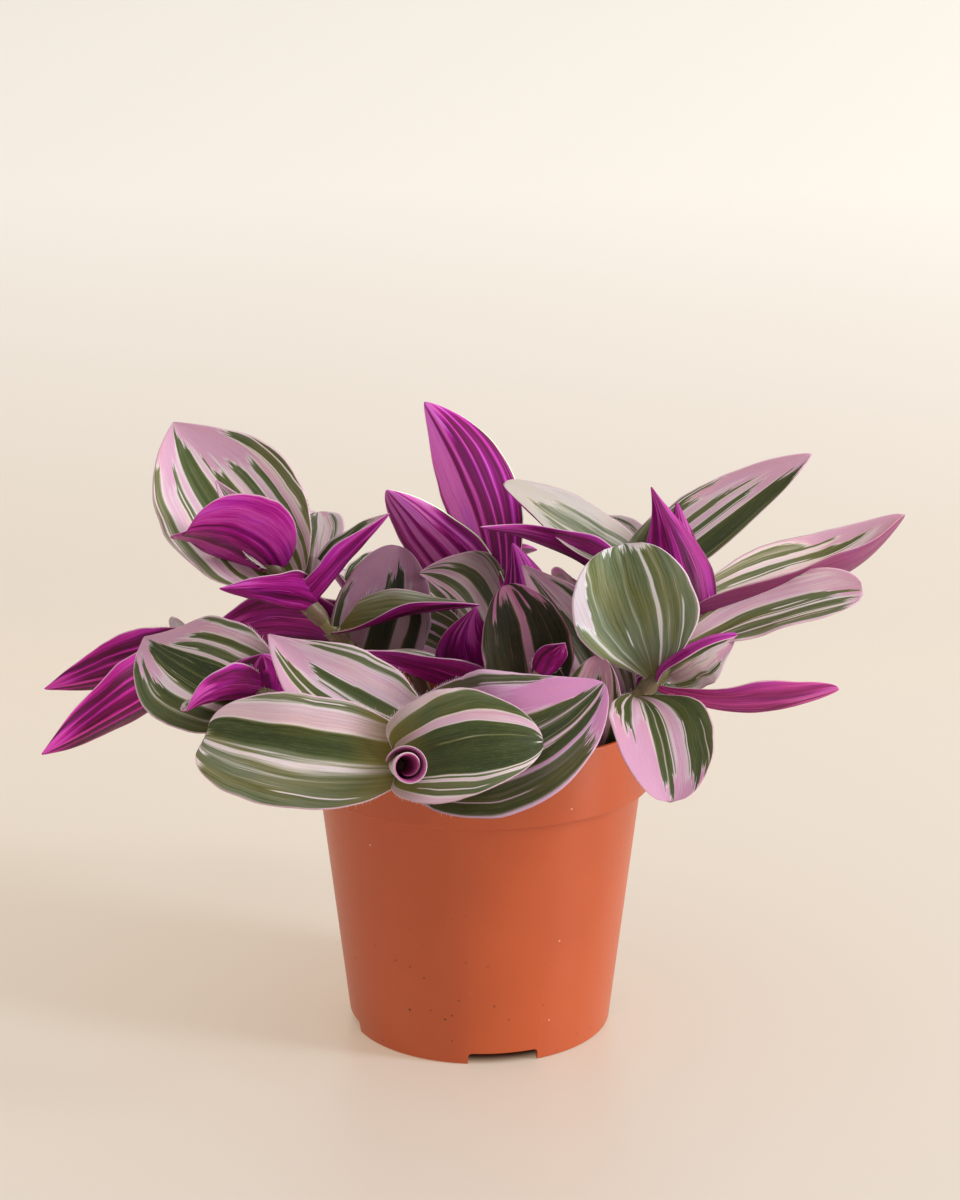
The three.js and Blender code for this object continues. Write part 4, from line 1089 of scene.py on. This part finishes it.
def sheath_tree():
    """The closed sheath at a leaf's foot: a short swollen tube with hairs round its mouth."""
    numbers = ["From", "To", "Radius", "Seed"]
    g, given = shape_tree("leaf_sheath", place=BEND_POINTS, number=numbers, finish=["Finish", "Hair"])
    line = g.new("GeometryNodeTrimCurve", {0: bent_line(g, given, 60), 2: given["From"], 3: given["To"]})
    factor = g.new("GeometryNodeSplineParameter")
    radius = given["Radius"] + g.math("SINE", factor * (math.pi * SHEATH_ARC)) * (SHEATH_SWELL * MM)
    sheath, line = tube(g, line, SHEATH_STEPS + 1, factor, radius, given["Finish"])
    inputs = {"Resolution": SHEATH_HAIRS, "Radius": given["Radius"]}
    mouth = g.new("GeometryNodeCurvePrimitiveCircle", inputs)
    outward = g.vector("NORMALIZE", g.new("GeometryNodeInputPosition")) + (0.0, 0.0, HAIR_RISE)
    mouth, outward = g.capture(mouth, "VECTOR", outward)
    hairs = stand_hairs(g, mouth, outward, given["Seed"])
    end = g.outputs("GeometryNodeSampleCurve", {"Curves": line, "Factor": 1.0}, mode="FACTOR")
    turn = g.new("FunctionNodeAlignRotationToVector", {"Vector": end["Tangent"]}, axis="Z")
    hairs = g.new("GeometryNodeTransform", {0: hairs, "Translation": end["Position"], "Rotation": turn})
    return close_tree(g, g.join(sheath, g.coated(hairs, given["Hair"]), given["Geometry"]))


def scroll_tree():
    """A furled young leaf: a blade rolled up into a scroll that widens towards its mouth."""
    numbers = ["Radius", "Turns", "Start"]
    g, given = shape_tree("furled_leaf", place=["Base", "Tip"], number=numbers, finish=["Upper", "Under"])
    grid, share, across = grid_lines(g, SCROLL_STEPS_ALONG, SCROLL_STEPS_AROUND)
    chord = given["Tip"] - given["Base"]
    ahead = g.vector("NORMALIZE", chord)
    side = g.vector("NORMALIZE", g.vector("CROSS_PRODUCT", (0.0, 0.0, 1.0), ahead))
    up = g.vector("CROSS_PRODUCT", ahead, side)
    around = across * 0.5 + 0.5
    angle = g.math("RADIANS", given["Start"] + given["Turns"] * 360.0 * around)
    widening = share * (1 - SCROLL_BASE_SHARE) + SCROLL_BASE_SHARE
    width = widening * (around * (1 - SCROLL_INNER_SHARE) + SCROLL_INNER_SHARE)
    normal = side * g.math("COSINE", angle) + up * g.math("SINE", angle)
    reach = share * (1.0 - across * across * SCROLL_SLANT)
    point = given["Base"] + chord * reach + normal * (given["Radius"] * width)
    scroll = thin_blade(g, grid, share, across, point, normal, given["Under"], given["Upper"])
    return close_tree(g, g.join(scroll, given["Geometry"]))


BLADE_TREE = blade_tree()
STEM_TREE = stem_tree()
SHEATH_TREE = sheath_tree()
SCROLL_TREE = scroll_tree()


def grow_shoot(name, stem, leaves, number):
    holder = new_object(name + "_grown")
    bend = {label: Vector(place) * MM for label, place in zip(BEND_POINTS, stem)}
    shape_with(holder, STEM_TREE, {
        **bend, "Foot Radius": STEM_FOOT_RADIUS * MM, "End Radius": STEM_TIP_RADIUS * MM, "Finish": STEM,
    })
    sheath = SHEATH_LENGTH / stem_length(stem)
    for index, one in enumerate(leaves):
        at = one["at"]
        seed = number * 10.0 + index
        radius = STEM_FOOT_RADIUS + (STEM_TIP_RADIUS - STEM_FOOT_RADIUS) * at + SHEATH_ROOM
        shape_with(holder, SHEATH_TREE, {
            **bend, "From": max(0.0, at - sheath * SHEATH_BELOW),
            "To": min(1.0, at + sheath * (1 - SHEATH_BELOW)), "Radius": radius * MM, "Seed": seed,
            "Finish": SHEATH, "Hair": HAIR,
        })
        shape = {label.capitalize(): float(one[label]) for label in USUAL_LEAF}
        shape["Wave"] *= MM
        shape_with(holder, BLADE_TREE, {
            **shape, "Base": stem_point(stem, at) * MM, "Tip": Vector(one["tip"]) * MM,
            "Face": face_direction(*one["face"]), "Width": one["width"] * MM, "Seed": seed,
            "Upper": leaf_finish("upper", one["upper"]), "Under": leaf_finish("under", one["under"]),
            "Hair": HAIR,
        })
    if name == FURLED["shoot"]:
        shape_with(holder, SCROLL_TREE, {
            "Base": stem_point(stem, FURLED["at"]) * MM, "Tip": Vector(FURLED["tip"]) * MM,
            "Radius": FURLED["radius"] * MM, "Turns": FURLED["turns"], "Start": FURLED["start"],
            "Upper": leaf_finish("upper", "furled_inside"), "Under": leaf_finish("upper", "furled"),
        })
    plain_mesh(holder)
    finish_piece(holder, "foliage", name)


for number, (name, stem) in enumerate(STEMS.items()):
    grow_shoot(name, stem, LEAVES[name], number)

# The pot's colours. Its dirt lies low and to the left, in specks of a scale, a size and a share.
TERRACOTTA = [(0.3, (0.49, 0.079, 0.0165)), (0.7, (0.56, 0.096, 0.0215))]
TERRACOTTA_CLOUDS = (18.0, 3.0)
DIRT = (0.07, 0.02, 0.012)
DIRT_SPECKS = (420.0, 0.25, 0.09)
DIRT_LOW = (0.01, 0.06, 1.0, 0.1)
DIRT_LEFT = (-0.03, 0.03, 1.0, 0.25)
PALE_DUST = (0.75, 0.42, 0.25)
PALE_SPECKS = (300.0, 0.13, 0.02)
POT_SHINE = 0.56
POT_ROUGHNESS = 0.30
POT_GRAIN = 1600.0
POT_GRAIN_SPREAD = 0.14
POT_BUMP = (0.12, 0.0002)
# Its form.
POT_SIDES = 144
POT_WALL = 1.6
FOOT_RADIUS = 46
FOOT_WIDTH = 3
FLOOR_HEIGHT = 5
NECK_RADIUS = 56.4
BAND_BOTTOM = 88
BAND_SHOULDER = 3.2
BAND_RADIUS = 59.9
RIM_TOP = 112
RIM_RADIUS = 60.5
NOTCH_WIDTH = 24
NOTCH_HEIGHT = 4.2
NOTCH_CORNER = 1.6
NOTCH_ANGLES = (-80, 10, 100, 190)
DRAIN_HOLE_RADIUS = 4
DRAIN_HOLE_SIDES = 24
DRAIN_CIRCLE_RADIUS = 28
DRAIN_HOLES = 6
SHARP_ANGLE = 35


def pot_finish():
    look = Finish("terracotta_plastic", Specular_IOR_Level=POT_SHINE)
    place = look.place()
    x, _, z = look.apart(place)
    low_left = look.steps(z, *DIRT_LOW) * look.steps(x, *DIRT_LEFT)
    dirt = look.specks(place, *DIRT_SPECKS) * low_left
    colour = look.blend(dirt, look.ramp(look.noise(place, *TERRACOTTA_CLOUDS), TERRACOTTA), DIRT)
    colour = look.blend(look.specks(place, *PALE_SPECKS), colour, PALE_DUST)
    grain = look.noise(place, POT_GRAIN)
    look.set(Base_Color=colour, Roughness=grain * POT_GRAIN_SPREAD + POT_ROUGHNESS)
    look.bump(grain, *POT_BUMP)
    return look.material


def rounded_profile(corners, steps=4):
    """A closed outline whose corners (radius, height, rounding) are rounded off."""
    points = []
    for index, (x, z, rounding) in enumerate(corners):
        corner = Vector((x, z))
        if not rounding:
            points.append(corner)
            continue
        before = Vector(corners[index - 1][:2])
        after = Vector(corners[(index + 1) % len(corners)][:2])
        start = corner + (before - corner).normalized() * rounding
        end = corner + (after - corner).normalized() * rounding
        for step in range(steps + 1):
            share = step / steps
            points.append(start * (1 - share) ** 2 + corner * 2 * share * (1 - share) + end * share**2)
    return points


def turned_mesh(profile, sides):
    """A closed outline of (radius, height) turned about the pot's axis. Points on the axis become one."""
    mesh = bmesh.new()
    rings = []
    angles = [2 * math.pi * side / sides for side in range(sides)]
    for radius, height in profile:
        if radius == 0:
            rings.append([mesh.verts.new((0, 0, height * MM))] * sides)
            continue
        rings.append([mesh.verts.new((radius * MM * math.cos(a), radius * MM * math.sin(a), height * MM))
                      for a in angles])
    for low, high in zip(rings, rings[1:] + rings[:1]):
        if low[0] is low[1] and high[0] is high[1]:
            continue
        for side in range(sides):
            after = (side + 1) % sides
            corners = [low[side], low[after], high[after], high[side]]
            mesh.faces.new(list(dict.fromkeys(corners)))
    bmesh.ops.recalc_face_normals(mesh, faces=mesh.faces)
    return mesh


def notch_cutter(angle):
    half, top, soft = NOTCH_WIDTH / 2, NOTCH_HEIGHT, NOTCH_CORNER
    outline = rounded_profile([(-half, -top, 0), (half, -top, 0), (half, top, soft), (-half, top, soft)])
    mesh = bmesh.new()
    near = [mesh.verts.new((x * MM, (FOOT_RADIUS - FOOT_WIDTH * 2) * MM, z * MM)) for x, z in outline]
    face = mesh.faces.new(near)
    far = bmesh.ops.extrude_face_region(mesh, geom=[face])["geom"]
    moved = [item for item in far if isinstance(item, bmesh.types.BMVert)]
    bmesh.ops.translate(mesh, verts=moved, vec=(0, FOOT_WIDTH * 3 * MM, 0))
    turn = Matrix.Rotation(math.radians(angle - 90), 3, "Z")
    bmesh.ops.rotate(mesh, verts=mesh.verts, cent=(0, 0, 0), matrix=turn)
    bmesh.ops.recalc_face_normals(mesh, faces=mesh.faces)
    return keep_mesh(mesh, "notch_cutter")


def drain_cutter(distance, angle):
    radius, top = DRAIN_HOLE_RADIUS, FLOOR_HEIGHT * 2
    mesh = turned_mesh([(0, 0), (radius, 0), (radius, top), (0, top)], DRAIN_HOLE_SIDES)
    shift = (distance * math.cos(angle) * MM, distance * math.sin(angle) * MM, 0)
    bmesh.ops.translate(mesh, verts=mesh.verts, vec=shift)
    return keep_mesh(mesh, "drain_cutter")


def turned_pot():
    inner_foot = FOOT_RADIUS - FOOT_WIDTH
    profile = rounded_profile([
        (inner_foot, 0, 0.8),
        (FOOT_RADIUS, 0, 1.0),
        (NECK_RADIUS, BAND_BOTTOM, 0.5),
        (BAND_RADIUS, BAND_BOTTOM, 0.7),
        (RIM_RADIUS, RIM_TOP, 0.75),
        (RIM_RADIUS - POT_WALL, RIM_TOP, 0.7),
        (BAND_RADIUS - POT_WALL, BAND_BOTTOM + BAND_SHOULDER, 0.8),
        (NECK_RADIUS - POT_WALL, BAND_BOTTOM, 0.8),
        (FOOT_RADIUS - POT_WALL, FLOOR_HEIGHT, 1.5),
        (0, FLOOR_HEIGHT, 0),
        (0, FLOOR_HEIGHT - POT_WALL, 0),
        (inner_foot, FLOOR_HEIGHT - POT_WALL, 0.8),
    ])
    pot = keep_mesh(turned_mesh(profile, POT_SIDES), "nursery_pot")
    pot.data.materials.append(pot_finish())
    cutters = [notch_cutter(angle) for angle in NOTCH_ANGLES] + [drain_cutter(0, 0)]
    for hole in range(DRAIN_HOLES):
        cutters.append(drain_cutter(DRAIN_CIRCLE_RADIUS, math.radians((hole + 0.5) * 360 / DRAIN_HOLES)))
    for cutter in cutters:
        cut = pot.modifiers.new("cut", "BOOLEAN")
        cut.operation = "DIFFERENCE"
        cut.solver = "EXACT"
        cut.object = cutter
    plain_mesh(pot)
    for cutter in cutters:
        bpy.data.objects.remove(cutter)
    pot.data.shade_smooth()
    pot.data.set_sharp_from_angle(angle=math.radians(SHARP_ANGLE))
    finish_piece(pot, "pot_plastic", "pot")


turned_pot()

# The soil, and what is strewn over it: how many pieces on a square metre, the smallest and the largest,
# their roundness, the seed and the finish.
SOIL_SHADES = [(0.35, (0.018, 0.011, 0.007)), (0.65, (0.06, 0.037, 0.022))]
PERLITE_SHADES = [(0.35, (0.42, 0.38, 0.32)), (0.6, (0.72, 0.69, 0.62))]
LOWEST_SLOPE = 0.6
FULL_TURN = 6.28
CRUMB_ROUGHNESS = 900.0
SOIL = mottled_finish("potting_soil", roughness=0.9, scale=320.0, detail=4.0, shades=SOIL_SHADES,
                      bump=(0.9, 0.002))
PERLITE = mottled_finish("white_perlite", roughness=0.85, scale=700.0, detail=3.0, shades=PERLITE_SHADES)
STREWN = {
    "soil_crumbs": (130000.0, 0.35, 1.1, 1, 4, SOIL),
    "soil_lumps": (14000.0, 1.0, 2.2, 2, 7, SOIL),
    "perlite_grains": (12000.0, 0.6, 1.4, 2, 9, PERLITE),
}


def dress(node, material):
    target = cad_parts[node]
    target.data.materials.clear()
    target.data.materials.append(material)


def crumbs_tree():
    """Rough crumbs strewn over the top of another object."""
    g, given = shape_tree(
        "strewn_crumbs",
        object=["Ground"],
        number=["Density", "Smallest", "Largest"],
        count=["Roundness", "Seed"],
        finish=["Finish"],
    )
    ground = g.outputs("GeometryNodeObjectInfo", {0: given["Ground"]}, transform_space="RELATIVE")
    normal = g.new("GeometryNodeInputNormal")
    inputs = {0: g.apart(normal)[2], 1: LOWEST_SLOPE}
    facing = g.new("FunctionNodeCompare", inputs, operation="GREATER_THAN")
    inputs = {"Mesh": ground["Geometry"], "Selection": facing, "Density": given["Density"],
              "Seed": given["Seed"]}
    points = g.new("GeometryNodeDistributePointsOnFaces", inputs)
    lump = g.new("GeometryNodeMeshIcoSphere", {"Radius": 1.0, "Subdivisions": given["Roundness"]})
    inputs = {"Min": (0.0, 0.0, 0.0), "Max": (FULL_TURN,) * 3, "Seed": 1}
    turn = g.new("FunctionNodeRandomValue", inputs, data_type="FLOAT_VECTOR")
    inputs = {"Min": given["Smallest"], "Max": given["Largest"], "Seed": 2}
    size = g.new("FunctionNodeRandomValue", inputs, data_type="FLOAT_VECTOR")
    inputs = {"Points": points, "Instance": lump, "Rotation": turn, "Scale": size}
    strewn = g.realized(g.new("GeometryNodeInstanceOnPoints", inputs))
    rough = g.noise(g.new("GeometryNodeInputPosition"), CRUMB_ROUGHNESS, 1.0) - 0.5
    inputs = {"Geometry": strewn, "Offset": normal * (rough * given["Largest"])}
    strewn = g.new("GeometryNodeSetPosition", inputs)
    return close_tree(g, g.coated(strewn, given["Finish"]))


def strew(tree, name, density, smallest, largest, roundness, seed, finish):
    holder = new_object(name)
    shape_with(holder, tree, {
        "Ground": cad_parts["soil"], "Density": density, "Smallest": smallest * MM,
        "Largest": largest * MM, "Roundness": roundness, "Seed": seed, "Finish": finish,
    })
    plain_mesh(holder)
    finish_piece(holder, "soil")


dress("soil", SOIL)
CRUMBS_TREE = crumbs_tree()
for name, choice in STREWN.items():
    strew(CRUMBS_TREE, name, *choice)

# The studio: a pale seamless floor and backdrop that glows softly, a large light from the right, and soft
# light all round. These are in metres.
SWEEP_FRONT = -4.5
SWEEP_BACK = 0.5
SWEEP_BEND = 0.6
SWEEP_BEND_STEPS = 12
SWEEP_HALF_WIDTH = 5
SWEEP_TOP = 2.4
# The sweep's colour and its painted glow, at the floor, behind the plant and high up: both change with
# height to paint in how light falls on the floor and backdrop.
SWEEP_COLOURS = [(0.0, (0.42, 0.42, 0.42)), (0.25, (0.6, 0.58, 0.56)), (0.9, (0.47, 0.47, 0.455))]
SWEEP_GLOW = [(0.0, (0.352, 0.257, 0.166)), (0.25, (0.33, 0.3, 0.245)), (0.9, (0.3, 0.278, 0.25))]
# The floor under the pot is painted with a dark brown shadow and does not glow: from one distance from its
# middle to another it grows bright.
SHADOW_AND_GLOW_EDGE = (0.0385, 0.0465, 0.02, 1.0)
SHADED_FLOOR = (0.16, 0.06, 0.03)
KEY_LIGHT = {"place": (2.62, -0.9, 1.35), "target": (0, 0, 0.1), "width": 0.6, "height": 2.3, "power": 72,
             "colour": (0.95, 0.98, 1.0)}
SWEEP_CLOUDS = 3.0
SWEEP_UNEVENNESS = 0.02
ROOM_COLOUR = (1.0, 0.98, 0.94)
ROOM_STRENGTH = 0.68


def sweep_finish():
    look = Finish("cream_paper", Roughness=0.35, Emission_Strength=1.0)
    place = look.place()
    x, y, z = look.apart(place)
    # Colour and glow that change with height paint in how light falls on the sweep.
    height = z + (look.noise(place, SWEEP_CLOUDS) - 0.5) * SWEEP_UNEVENNESS
    # Painted shadow under the pot: there the floor is dark brown and does not glow.
    outside_painted_shadow = look.steps(look.vector("LENGTH", look.point(x, y)), *SHADOW_AND_GLOW_EDGE)
    look.set(Base_Color=look.blend(outside_painted_shadow, SHADED_FLOOR, look.ramp(height, SWEEP_COLOURS)),
             Emission_Color=look.blend(1.0, look.ramp(height, SWEEP_GLOW), outside_painted_shadow, "MULTIPLY"))
    return look.material


def backdrop():
    profile = [(SWEEP_FRONT, 0.0), (SWEEP_BACK, 0.0)]
    for step in range(1, SWEEP_BEND_STEPS + 1):
        angle = math.radians(90 * step / SWEEP_BEND_STEPS)
        profile.append((SWEEP_BACK + SWEEP_BEND * math.sin(angle), SWEEP_BEND * (1 - math.cos(angle))))
    profile.append((SWEEP_BACK + SWEEP_BEND, SWEEP_TOP))
    mesh = bmesh.new()
    sides = (-SWEEP_HALF_WIDTH, SWEEP_HALF_WIDTH)
    rows = [[mesh.verts.new((x, y, z)) for x in sides] for y, z in profile]
    for low, high in zip(rows, rows[1:]):
        mesh.faces.new((low[0], low[1], high[1], high[0])).smooth = True
    sweep = keep_mesh(mesh, "studio_sweep")
    sweep.data.materials.append(sweep_finish())


def area_light(name, place, target, width, height, power, colour):
    data = bpy.data.lights.new(name, "AREA")
    data.shape = "RECTANGLE"
    data.size = width
    data.size_y = height
    data.energy = power
    data.color = colour
    light = bpy.data.objects.new(name, data)
    light.location = place
    light.rotation_euler = (Vector(target) - Vector(place)).to_track_quat("-Z", "Y").to_euler()
    bpy.context.scene.collection.objects.link(light)


def room_light():
    world = bpy.data.worlds.new("soft_room")
    world.use_nodes = True
    background = world.node_tree.nodes["Background"]
    background.inputs["Color"].default_value = (*ROOM_COLOUR, 1)
    background.inputs["Strength"].default_value = ROOM_STRENGTH
    bpy.context.scene.world = world
    bpy.context.scene.view_settings.view_transform = "Standard"


backdrop()
area_light("key_light", **KEY_LIGHT)
room_light()
